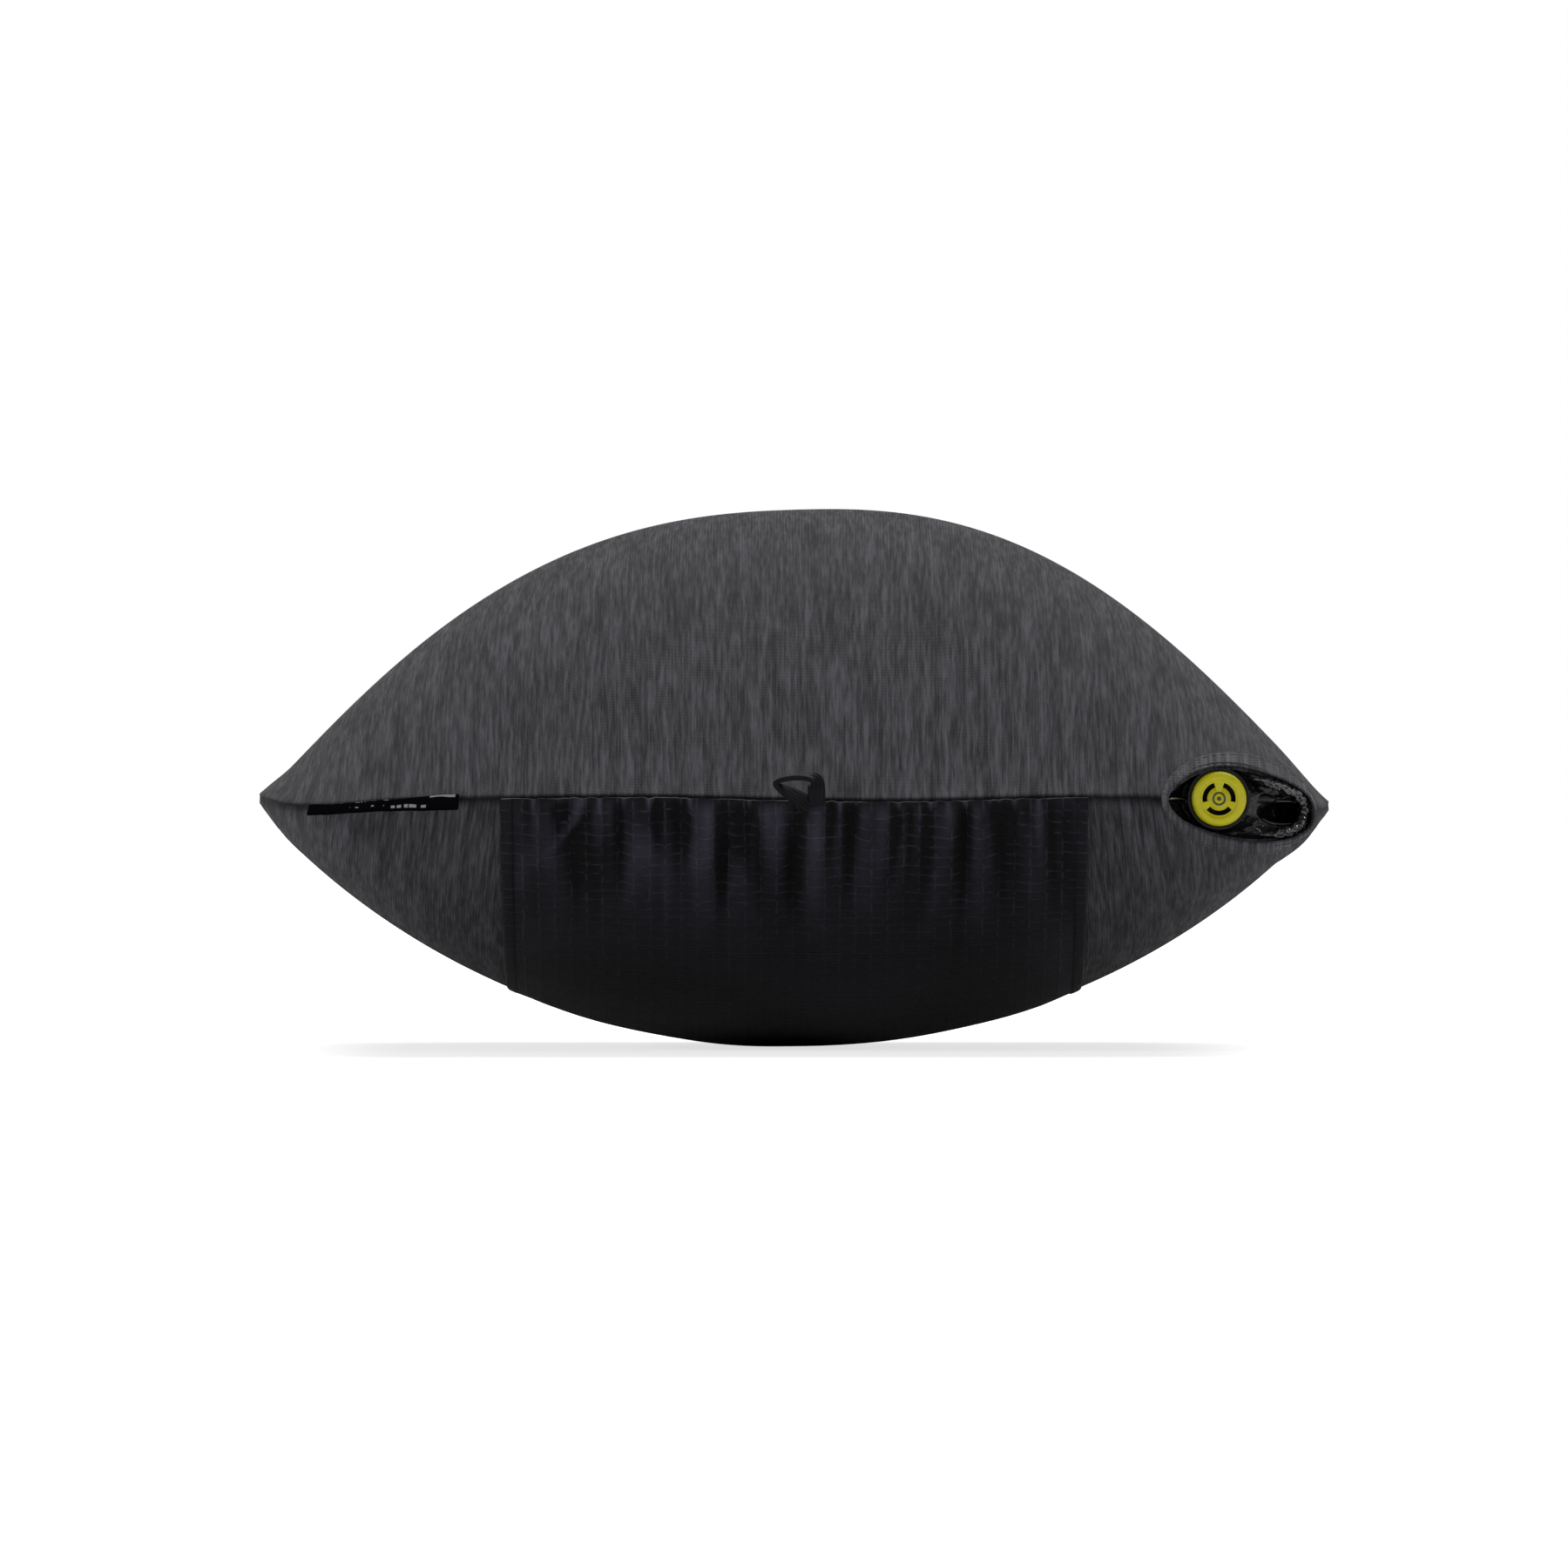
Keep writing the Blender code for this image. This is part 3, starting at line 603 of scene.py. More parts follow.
weave, given, result = new_group(
    "thread_weave",
    [("Vector", "NodeSocketVector", None), ("Threads", "NodeSocketFloat", 4000.0)],
    [("Height", "NodeSocketFloat"), ("Shade", "NodeSocketFloat")],
)
spread_out = scaled(weave, given["Vector"], given["Threads"])
axes = add_node(weave, "ShaderNodeSeparateXYZ", {"Vector": spread_out})
warp = calculate(weave, "SINE", calculate(weave, "MULTIPLY", axes.outputs["X"], tau))
weft = calculate(weave, "SINE", calculate(weave, "MULTIPLY", axes.outputs["Y"], tau))
crossing = calculate(weave, "MULTIPLY_ADD", calculate(weave, "MULTIPLY", warp, weft), 0.5, 0.5)
uneven = calculate(weave, "MULTIPLY", noise_at(weave, given["Vector"], 900.0, 2.0).outputs[0], 0.7)
weave.links.new(crossing, result.inputs["Height"])
weave.links.new(calculate(weave, "MULTIPLY_ADD", crossing, 0.3, uneven), result.inputs["Shade"])


def woven(name, dark, light, threads, roughness, depth):
    """A woven tape or elastic: thread by thread relief and an uneven shade between two colours."""
    made, tree, shader = new_material(name, Roughness=roughness)
    cloth = place_group(tree, weave, {"Vector": position(tree), "Threads": threads})
    shade = two_colours(tree, cloth["Shade"], dark, light, 0.25, 0.75)
    tree.links.new(shade.outputs["Color"], shader.inputs["Base Color"])
    relief(tree, shader, cloth["Height"], depth)
    return made


BLACK_YARN = (0.008, 0.008, 0.009)
binding_tape = woven("binding_tape", BLACK_YARN, (0.02, 0.02, 0.022), 1800.0, 0.8, 0.0001)
refinish("sack_mouth_elastic", woven("elastic", BLACK_YARN, (0.024, 0.024, 0.026), 1500.0, 0.7, 0.0002))

TAPE_INSET, TAPE_DROP = 0.0057, 0.0005  # the middle of the tape, in from the seam and under it
TAPE_HALF_WIDTH, TAPE_HALF_THICKNESS = 0.0025, 0.0004
TAPE_STEPS, TAPE_SIDES = 420, 12
# The tape starts left of the opening, on the front, and ends short of it on the right side.
TAPE_START, TAPE_END = (PORT_X - 0.030) / HALF_WIDTH, -0.78
tape_turns = [(TAPE_START, -1.0), (-1.0, -1.0), (-1.0, 1.0), (1.0, 1.0), (1.0, TAPE_END)]
tape_sides_run = [abs(b[0] - a[0]) + abs(b[1] - a[1]) for a, b in zip(tape_turns, tape_turns[1:])]
tape_runs = np.cumsum([0.0] + tape_sides_run)
tape_stops = np.linspace(0, tape_runs[-1], TAPE_STEPS + 1)
tape_places = [np.interp(tape_stops, tape_runs, [turn[i] for turn in tape_turns]) for i in range(2)]
tape_line = [pillow_point(1, across, along)[0] for across, along in zip(*tape_places)]
bm = bmesh.new()
bmesh.ops.create_grid(bm, x_segments=TAPE_STEPS, y_segments=TAPE_SIDES, size=0.5)
for vertex in bm.verts:
    step, angle = round((vertex.co.x + 0.5) * TAPE_STEPS), tau * (vertex.co.y + 0.5)
    ahead = tape_line[min(step + 1, TAPE_STEPS)] - tape_line[max(step - 1, 0)]
    inwards = Vector((ahead.y, -ahead.x, 0)).normalized()
    flat, thick = TAPE_HALF_WIDTH * cos(angle), TAPE_HALF_THICKNESS * sin(angle)
    vertex.co = tape_line[step] + inwards * (TAPE_INSET + flat) + Vector((0, 0, thick - TAPE_DROP))
bmesh.ops.remove_doubles(bm, verts=bm.verts, dist=0.000005)
bmesh.ops.holes_fill(bm, edges=bm.edges, sides=TAPE_SIDES + 2)
bmesh.ops.recalc_face_normals(bm, faces=bm.faces)
seam_binding = finish_piece(bm, "seam_binding", binding_tape, 60)
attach(seam_binding, "pillow")
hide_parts("seam_tape")

# ---------------------------------------------------------------- hem of the valve opening
# The edge of the opening is turned in and sewn down in a narrow hem. The hem is pulled tight round the
# button, so it stands a little proud, with short tucks across it and a sunk line of stitches along its outer
# edge.


def front_point(side, turn, spread, out=0.0):
    """A point of the cover's front by its angle round the slit and the size of the ellipse through it."""
    turned = spread * cmath.exp(1j * turn)
    place = PORT_HALF * (turned + 1 / turned) / 2
    x, height = PORT_X + place.real, abs(place.imag)
    share = share_at(side, height)
    power = level_power(share)
    left = max(0.002, 1 - abs(x / (HALF_WIDTH * share)) ** power)
    y = -HALF_LENGTH * share * left ** (1 / power)
    point = settle((x, y, SEAM_Z + side * height), side, height)
    point = open_port(point, side, turn, spread)
    middle = Vector((PORT_X, point.y + 0.02, SEAM_Z))
    outwards = Vector((0.35 * (point.x - middle.x), -0.02, 0.6 * (point.z - middle.z))).normalized()
    return point + outwards * out


def side_and_turn(angle):
    """Which panel an angle round the opening is on, and the turn that it makes from the right end there."""
    side = 1 if angle <= pi else -1
    return side, (angle if side > 0 else tau - angle)


HEM_TUCKS = 58
TUCK_DEPTH = 0.00024
dice = Random(7)
tuck_depths = [dice.uniform(0.3, 1.0) for _ in range(HEM_TUCKS)]


HEM_FOLD = 0.25  # the share of the hem that is turned in behind the opening's edge


def hem_section(width):
    """How high the hem stands and how far out it has come, from its inner fold, at 0, to its edge, at 1."""
    if width < HEM_FOLD:
        return -0.0042 * (1 - width / HEM_FOLD), 0.0
    outward = (width - HEM_FOLD) / (1 - HEM_FOLD)
    return 0.0001 + 0.0021 * sin(pi * min(1.0, outward * 1.04)) ** 0.55, outward


def hem_place(angle, width):
    """Where a point of the hem lies round the slit, and how high it stands. The hem narrows at both ends."""
    side, turn = side_and_turn(angle)
    out, outward = hem_section(width)
    widest = 0.62 - 0.40 * max(0.0, cos(turn)) ** 3 - 0.12 * max(0.0, -cos(turn)) ** 3
    return side, turn, 1 + outward * widest, out


AROUND, ACROSS = 240, 22
bm = bmesh.new()
bmesh.ops.create_grid(bm, x_segments=AROUND, y_segments=ACROSS, size=0.5)
painted_shading = bm.verts.layers.float.new("painted_shading")
for vertex in bm.verts:
    round_share, width = vertex.co.x + 0.5, vertex.co.y + 0.5
    side, turn, spread, out = hem_place(tau * round_share, width)
    tuck = tuck_depths[int(round_share * HEM_TUCKS) % HEM_TUCKS]
    out += TUCK_DEPTH * tuck * sin(tau * round_share * HEM_TUCKS) * sin(pi * min(1.0, width * 1.1))
    # Painted shade darkens the hem's sunk outer edge, and a painted highlight lightens its raised middle.
    vertex[painted_shading] = smooth((width - 0.88) / 0.08) - 0.3 * sin(pi * width) ** 2
    point = front_point(side, turn, spread, max(out, -0.0002))
    if out < 0:
        point += Vector((0, -out, 0)) + (Vector((PORT_X, point.y, SEAM_Z)) - point) * 0.01
    vertex.co = point
bmesh.ops.remove_doubles(bm, verts=bm.verts, dist=0.00002)
bmesh.ops.recalc_face_normals(bm, faces=bm.faces)
port_hem = finish_piece(bm, "opening_hem", knit, 80)
lay_out(port_hem, [(0.2 + vertex.co.x, vertex.co.z) for vertex in port_hem.data.vertices])
thicken(port_hem, 0.0006, -1.0)
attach(port_hem, "pillow")
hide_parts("port_hem")

# A row of stitches holds the hem down near its outer edge.
STITCH, STITCH_GAP, THREAD_RADIUS = 0.0024, 0.0008, 0.00022
thread, tree, shader = new_material("sewing_thread", Roughness=0.6)
twist = add_node(tree, "ShaderNodeTexWave", {"Vector": position(tree), "Scale": 900.0, "Distortion": 1.0})
twisted = twist.outputs["Color"]
tone = add_node(tree, "ShaderNodeMapRange", {"Value": twisted, "To Min": 0.008, "To Max": 0.03})
tree.links.new(tone.outputs[0], shader.inputs["Base Color"])
relief(tree, shader, twisted, 0.0001)


def lengths_along(points):
    """How far along a line of points each of them lies."""
    lengths = [0.0]
    for before, after in zip(points, points[1:]):
        lengths.append(lengths[-1] + (after - before).length)
    return lengths


def stitch_row(name, points, normals):
    """A row of short raised stitches along a line of points, each with the cloth's normal there."""
    bm = bmesh.new()
    lengths = lengths_along(points)
    spacing = STITCH + STITCH_GAP
    for k in range(int(lengths[-1] / spacing)):
        at = (k + 0.5) * spacing
        step = max(i for i, run in enumerate(lengths) if run <= at)
        if step >= len(points) - 1:
            break
        share = (at - lengths[step]) / (lengths[step + 1] - lengths[step])
        middle = points[step].lerp(points[step + 1], share)
        along = (points[step + 1] - points[step]).normalized()
        across = normals[step].cross(along).normalized()
        turned = Matrix((along, across, along.cross(across))).transposed().to_4x4()
        turned.translation = middle
        sized = Matrix.Diagonal((STITCH / 2, THREAD_RADIUS, THREAD_RADIUS * 0.9, 1))
        place = turned @ sized @ Matrix.Rotation(radians(90), 4, "Y")
        bmesh.ops.create_uvsphere(bm, u_segments=6, v_segments=5, radius=1.0, matrix=place)
    row = finish_piece(bm, name, thread, 80)
    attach(row, "pillow")
    return row


HEM_STITCH_LINE = 0.80  # its share of the hem's width
hem_line = []
hem_ups = []
for step in range(AROUND + 1):
    side, turn, spread, out = hem_place(tau * step / AROUND, HEM_STITCH_LINE)
    point = front_point(side, turn, spread, out)
    hem_line.append(point)
    hem_ups.append((front_point(side, turn, spread, out + 0.001) - point).normalized())
hem_stitches = stitch_row("hem_stitches", hem_line, hem_ups)

# ---------------------------------------------------------------- film in the valve opening
# Behind the hem the core's film gathers round the valve: a dark collar from the hem to the barrel, a crinkled
# bead where its welded edge is bunched up at the corner, and a rolled lip round the fold beside the valve.


def gathered_film(name, scale, sharpness, depth, **constants):
    """The same film where it is drawn together: shinier, with creases of that scale."""
    made, tree, shader = new_material(name, Base_Color=FILM_BLACK, Coat_Roughness=0.05, **constants)
    folds = place_group(tree, crinkle, {"Vector": position(tree), "Scale": scale, "Sharpness": sharpness})
    relief(tree, shader, folds["Height"], depth)
    return made


collar_film = gathered_film(
    "collar_film", 420.0, 0.5, 0.0003, Coat_Weight=0.35, Roughness=0.22, Specular_IOR_Level=0.15
)
lip_film = gathered_film(
    "lip_film", 300.0, 0.1, 0.00006, Coat_Weight=1.0, Coat_IOR=1.9, Roughness=0.2, Specular_IOR_Level=0.5
)
bead_film = gathered_film(
    "bead_film", 900.0, 0.3, 0.00006, Coat_Weight=1.0, Coat_IOR=1.6, Roughness=0.14, Specular_IOR_Level=0.2
)

barrel_low, barrel_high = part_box("valve_housing")
barrel_radius = (barrel_high.z - barrel_low.z) / 2
FILM_BEHIND = 0.0022  # how far the collar's edges lie behind the opening's edge and the barrel's face
FOLD_X, FOLD_Z = valve_x + 0.0190, SEAM_Z - 0.0040
FOLD_HALF = Vector((0.0066, 0.0031))


def collar_point(round_share, depth_share):
    """The collar between the hem, at share 0, and the barrel, at share 1."""
    side, turn = side_and_turn(tau * round_share)
    outer = front_point(side, turn, 1.0) + Vector((0, FILM_BEHIND, 0))
    heading = Vector((outer.x - valve_x, 0, outer.z - valve_z)).normalized()
    inner = Vector((valve_x, barrel_low.y + FILM_BEHIND, valve_z)) + heading * (barrel_radius - 0.0002)
    point = outer.lerp(inner, depth_share)
    point.y += 0.0035 * sin(pi * depth_share)
    fold = Vector(((point.x - FOLD_X) / FOLD_HALF.x, (point.z - FOLD_Z) / FOLD_HALF.y)).length
    point.y += 0.009 * smooth((1.25 - fold) / 0.5)
    web = exp(-(((point.z - SEAM_Z + 0.0004) / 0.0006) ** 2)) * smooth((0.95 - depth_share) / 0.3)
    point.y -= 0.0012 * web * smooth((valve_x - point.x) / 0.006)
    wrinkle = noise.noise(point * 420) + 0.5 * noise.noise(point * 900)
    point.y += 0.0006 * wrinkle * sin(pi * depth_share)
    return point


bm = bmesh.new()
bmesh.ops.create_grid(bm, x_segments=200, y_segments=44, size=0.5)
for vertex in bm.verts:
    vertex.co = collar_point(vertex.co.x + 0.5, vertex.co.y + 0.5)
bmesh.ops.remove_doubles(bm, verts=bm.verts, dist=0.00001)
bmesh.ops.recalc_face_normals(bm, faces=bm.faces)
collar = finish_piece(bm, "film_collar", collar_film, 60)
thicken(collar, 0.0003)
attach(collar, "pillow")


def swept_tube(name, path, radii, material, sides=14):
    """A tube along a path of points, each with its own radius, closed at both ends."""
    last = len(path) - 1
    bm = bmesh.new()
    bmesh.ops.create_grid(bm, x_segments=last, y_segments=sides, size=0.5)
    for vertex in bm.verts:
        step = round((vertex.co.x + 0.5) * last)
        angle = tau * (vertex.co.y + 0.5)
        along = (path[min(last, step + 1)] - path[max(0, step - 1)]).normalized()
        up = along.cross(Vector((0, 1, 0))).normalized()
        out = up.cross(along)
        radius = radii[step]
        vertex.co = path[step] + up * cos(angle) * radius + out * sin(angle) * radius
    bmesh.ops.remove_doubles(bm, verts=bm.verts, dist=0.00001)
    bmesh.ops.holes_fill(bm, edges=bm.edges, sides=sides + 1)
    bmesh.ops.recalc_face_normals(bm, faces=bm.faces)
    return finish_piece(bm, name, material, 70)


def curve_through(points, steps):
    """Evenly numbered points of a smooth curve through the given ones."""
    ends = [points[0] * 2 - points[1], *points, points[-1] * 2 - points[-2]]
    line = []
    for i in range(len(points) - 1):
        a, b, c, d = ends[i : i + 4]
        bend, turn = a * 2 - b * 5 + c * 4 - d, b * 3 - a - c * 3 + d
        for k in range(steps):
            t = k / steps
            line.append((b * 2 + (c - a) * t + bend * t * t + turn * t**3) * 0.5)
    return line + [points[-1]]


# The lip is an open U round the fold, lying on the collar.
lip_points = []
for angle in (150, 110, 60, 20, -20, -60, -110, -150):
    x = FOLD_X + 1.12 * FOLD_HALF.x * cos(radians(angle))
    z = FOLD_Z + 1.15 * FOLD_HALF.y * sin(radians(angle))
    under = min(collar.data.vertices, key=lambda vertex: hypot(vertex.co.x - x, vertex.co.z - z))
    lip_points.append(Vector((x, under.co.y - 0.0007, z)))
lip_line = curve_through(lip_points, 12)
lip_ends = [smooth(min(step, len(lip_line) - 1 - step) / 14) for step in range(len(lip_line))]
lip_radii = [0.00060 * (0.35 + 0.65 * from_end) for from_end in lip_ends]
fold_lip = swept_tube("fold_lip", lip_line, lip_radii, lip_film)
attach(fold_lip, "pillow")

# A tight fold of the film runs from the left corner of the opening to the barrel.
RIDGE_STEPS = 30
ridge_start, ridge_stop = collar_point(0.5, 0.02), collar_point(0.5, 0.97)
ridge_line = []
ridge_radii = []
for step in range(RIDGE_STEPS + 1):
    share = step / RIDGE_STEPS
    stand = Vector((0, -0.0020 * sin(pi * share) - 0.0006, 0.0002 * sin(5 * share)))
    ridge_line.append(ridge_start.lerp(ridge_stop, share) + stand)
    ridge_radii.append(0.00034 * (0.4 + 0.6 * smooth(min(step, RIDGE_STEPS - step) / 5)))
film_ridge = swept_tube("film_ridge", ridge_line, ridge_radii, lip_film)
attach(film_ridge, "pillow")

# The bead follows the inside of the hem round the corner, from above the button to below the fold.
BEAD_STEPS = 120
BEAD_START, BEAD_SWEEP = radians(78), radians(150)
bead_line = []
bead_radii = []
for step in range(BEAD_STEPS + 1):
    angle = BEAD_START - BEAD_SWEEP * step / BEAD_STEPS
    rim = front_point(1 if angle > 0 else -1, abs(angle), 1.0)
    inwards = (Vector((PORT_X, rim.y, SEAM_Z - 0.001)) - rim).normalized()
    point = rim + inwards * 0.0026 + Vector((0, 0.0006, 0))
    from_end = smooth(min(step, BEAD_STEPS - step) / 22)
    bead_line.append(point)
    bead_radii.append(0.0004 + 0.00130 * from_end * (0.85 + 0.3 * noise.noise(point * 300)))
bead = swept_tube("film_bead", bead_line, bead_radii, bead_film, 24)
finer = bead.modifiers.new("finer", "SUBSURF")
finer.levels = finer.render_levels = 2
apply_modifiers(bead)
# The bead's film is crumpled into small lumps.
LUMP_HEIGHT = 0.00065
outward = [vertex.normal.copy() for vertex in bead.data.vertices]
for vertex, way in zip(bead.data.vertices, outward):
    lumps = noise.noise(vertex.co * 760) + 0.35 * noise.noise(vertex.co * 1700)
    vertex.co += way * LUMP_HEIGHT * lumps
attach(bead, "pillow")

# ---------------------------------------------------------------- stuff sack
# A panel of black coated ripstop is sewn into the front seam and wraps under the pillow, where its other end
# is the sack's mouth. The seam gathers it, so soft folds fall from it until the cloth is stretched over the
# belly.

sack_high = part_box("sack_panel")[1]
SACK_HALF, SACK_END = sack_high.x, sack_high.y
SACK_OUT = 0.0006  # from the cover to the middle of the sack's cloth
SACK_THICKNESS = 0.0004
FLOOR_CLEAR = 0.0004


def belly_line(x, end_y, samples=220):
    """The line that runs under the cover at that x, from the front seam to end_y past the middle."""
    least = abs(x) / (HALF_WIDTH * side_bulge(0.0))
    y = -HALF_LENGTH
    shares = [least + (1 - least) * (1 - k / samples) ** 2 for k in range(samples + 1)]
    line = []
    for half, run in ((-1, shares), (1, shares[::-1][1:])):
        for share in run:
            share = max(share, 1e-5)
            across = abs(x) / (HALF_WIDTH * side_bulge(y) * share)
            power = level_power(share)
            left = max(0.0, 1 - min(1.0, across) ** power)
            y = half * HALF_LENGTH * share * left ** (1 / power)
            height = rise_at(-1, share)
            line.append(settle((x, y, SEAM_Z - height), -1, height))
            if y > end_y:
                return line
    return line


def even_points(line, count):
    """That many points at even steps of length along a line, and the line's whole length."""
    lengths = lengths_along(line)
    targets = np.linspace(0, lengths[-1], count)
    columns = [np.interp(targets, lengths, [point[i] for point in line]) for i in range(3)]
    return [Vector(place) for place in zip(*columns)], lengths[-1]


SACK_COLUMNS, SACK_ROWS = 168, 190
sack_lines = []
sack_lengths = []
for i in range(SACK_COLUMNS + 1):
    under = belly_line(SACK_HALF * (2 * i / SACK_COLUMNS - 1), SACK_END)
    line, length = even_points(under, SACK_ROWS + 1)
    sack_lines.append(line)
    sack_lengths.append(length)


def folds(x, down):
    """How far the sack's cloth stands off the cover at a place, and how its colour is scaled there: painted
    highlights on ridges, puckers and the crease, painted shade in the hollows, some real rubbing of the
    ridges' coating, and a mottled lift lower down.
    """
    gathered = exp(-((down / 0.040) ** 1.8))
    drift = 0.004 * noise.noise(Vector((x * 18, down * 10, 4.0)))
    wide = noise.noise(Vector(((x + drift) * 62, down * 5, 1.0)))
    narrow = noise.noise(Vector(((x + drift) * 160, down * 9, 2.0)))
    pucker = noise.noise(Vector((x * 420, down * 60, 3.0))) * exp(-down / 0.005)
    slack = noise.noise(Vector((x * 30, down * 24, 5.0)))
    fine = noise.noise(Vector(((x + drift) * 340, down * 14, 6.0)))
    crease_x = -0.0617 - 0.0125 * (down / 0.025) ** 1.7
    crease = exp(-(((x - crease_x) / 0.0016) ** 2)) * smooth(1.2 - down / 0.022) * (down < 0.03)
    grip = smooth(down / 0.003)
    sewn_flat = 1 - 0.95 * exp(-(((x - 0.002) / 0.011) ** 4) - (down / 0.014) ** 4)  # under the hang loop
    stand = (0.0085 * abs(wide) + 0.0020 * narrow + 0.0005 * fine) * sewn_flat
    height = grip * (stand * gathered + 0.0018 * crease) + 0.0009 * pucker + 0.0005 * slack * grip
    # Painted highlight on the fold ridges and painted shade in the hollows, with some real rubbing of the
    # coating on the ridges.
    ridges = 2.4 * smooth(5.0 * (abs(wide) - 0.11)) + 2.4 * narrow + 1.9 * fine - 0.66
    wear_and_fold_shading = grip * gathered * ridges + 2.4 * crease
    return height, wear_and_fold_shading + 9.0 * max(0.0, pucker - 0.14) + (0.8 * slack + 0.16) * grip * (1 - gathered)


RIPSTOP_PITCH = 0.0047  # from one thick thread to the next
grid_weave, given, result = new_group(
    "ripstop_weave",
    [
        ("Vector", "NodeSocketVector", None),
        ("Pitch", "NodeSocketFloat", RIPSTOP_PITCH),
        ("Threads", "NodeSocketFloat", 0.6),
    ],
    [("Height", "NodeSocketFloat"), ("Lines", "NodeSocketFloat"), ("Mottle", "NodeSocketFloat")],
)
wander = noise_at(grid_weave, given["Vector"], 160.0, 2.0)
place = strayed(grid_weave, given["Vector"], wander, 0.0012)
axes = add_node(grid_weave, "ShaderNodeSeparateXYZ", {"Vector": place})
half_pitch = calculate(grid_weave, "MULTIPLY", given["Pitch"], 0.5)
lines = []
for axis in ("X", "Y"):
    away = calculate(grid_weave, "PINGPONG", axes.outputs[axis], half_pitch)
    line = add_node(
        grid_weave,
        "ShaderNodeMapRange",
        {"Value": away, "From Min": 0.00015, "From Max": 0.00055, "To Min": 1.0, "To Max": 0.0},
    )
    lines.append(line.outputs["Result"])
patches = noise_at(grid_weave, given["Vector"], 330.0, 2.0).outputs[0]
broken = add_node(grid_weave, "ShaderNodeMapRange", {"Value": patches, "From Min": 0.38, "From Max": 0.58})
either = calculate(grid_weave, "MAXIMUM", *lines)
grid = calculate(grid_weave, "MULTIPLY", either, broken.outputs["Result"])
threads = place_group(grid_weave, weave, {"Vector": given["Vector"], "Threads": 3300.0})
fine = calculate(grid_weave, "MULTIPLY", threads["Height"], given["Threads"])
mottle = noise_at(grid_weave, given["Vector"], 70.0, 4.0)
grid_weave.links.new(calculate(grid_weave, "ADD", grid, fine), result.inputs["Height"])
grid_weave.links.new(grid, result.inputs["Lines"])
grid_weave.links.new(mottle.outputs[0], result.inputs["Mottle"])

ripstop, tree, shader = new_material("coated_ripstop", Specular_IOR_Level=0.1)
cloth = place_group(
    tree,
    grid_weave,
    {"Vector": position(tree, source="UV"), "Pitch": RIPSTOP_PITCH, "Threads": 0.25},
)
tint = two_colours(tree, cloth["Mottle"], (0.0060, 0.0058, 0.0084), (0.0104, 0.0100, 0.0142), 0.3, 0.7)
# Painted light and wear: an attribute scales the cloth's colour, with painted highlights and shade on the
# folds near the seam and real rubbing on their ridges.
wear_and_fold_shading = add_node(tree, "ShaderNodeAttribute", attribute_name="wear_and_fold_shading").outputs["Fac"]
fold_shading_strength = calculate(tree, "MULTIPLY_ADD", wear_and_fold_shading, 1.5, 1.0)
line_strength = calculate(tree, "MULTIPLY", cloth["Lines"], 2.2)
strength = calculate(tree, "MAXIMUM", calculate(tree, "ADD", fold_shading_strength, line_strength), 0.3)
tree.links.new(scaled(tree, tint.outputs["Color"], strength), shader.inputs["Base Color"])
sheen = add_node(tree, "ShaderNodeMapRange", {"Value": cloth["Mottle"], "To Min": 0.32, "To Max": 0.48})
dull_lines = calculate(tree, "MULTIPLY", cloth["Lines"], 0.08)
tree.links.new(calculate(tree, "ADD", sheen.outputs[0], dull_lines), shader.inputs["Roughness"])
relief(tree, shader, cloth["Height"], 0.0004)

bm = bmesh.new()
bmesh.ops.create_grid(bm, x_segments=SACK_COLUMNS, y_segments=SACK_ROWS, size=0.5)
sack_places = []
for vertex in bm.verts:
    i = round((vertex.co.x + 0.5) * SACK_COLUMNS)
    j = round((vertex.co.y + 0.5) * SACK_ROWS)
    sack_places.append((i, j))
    vertex.co = sack_lines[i][j]
bmesh.ops.recalc_face_normals(bm, faces=bm.faces)
bm.normal_update()
if sum(face.normal.z for face in bm.faces) > 0:
    bmesh.ops.reverse_faces(bm, faces=bm.faces)
    bm.normal_update()
sack_points = {}
sack_uv = []
fold_shading_values = []
for vertex, (i, j) in zip(bm.verts, sack_places):
    x, down = sack_lines[i][j].x, sack_lengths[i] * j / SACK_ROWS
    height, wear_and_fold_shading = folds(x, down)
    near_edge = 0.35 + 0.65 * smooth((SACK_HALF - abs(x)) / 0.012)
    sack_points[i, j] = vertex.co + vertex.normal * (SACK_OUT + height) * near_edge
    sack_uv.append((x * 1.03, down))
    fold_shading_values.append(wear_and_fold_shading)
for vertex, point in zip(bm.verts, sack_points.values()):
    vertex.co = (point.x, point.y, max(point.z, FLOOR_CLEAR))
sack_panel = finish_piece(bm, "sack_cloth", ripstop, 80)
lay_out(sack_panel, sack_uv)
sack_panel.data.attributes.new("wear_and_fold_shading", "FLOAT", "POINT").data.foreach_set("value", fold_shading_values)
thicken(sack_panel, SACK_THICKNESS)
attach(sack_panel, "pillow")
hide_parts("sack_panel")

# Each side edge is folded over twice and sewn down, which leaves a flat, darker strip; it shows darker
# because it takes none of the painted light that scales the rest of the sack's colour.
EDGE_WIDTH, EDGE_HEIGHT = 0.0030, 0.00025
EDGE_STITCH_LINE = 0.78  # its share of the edge's width
EDGE_STEPS = 10


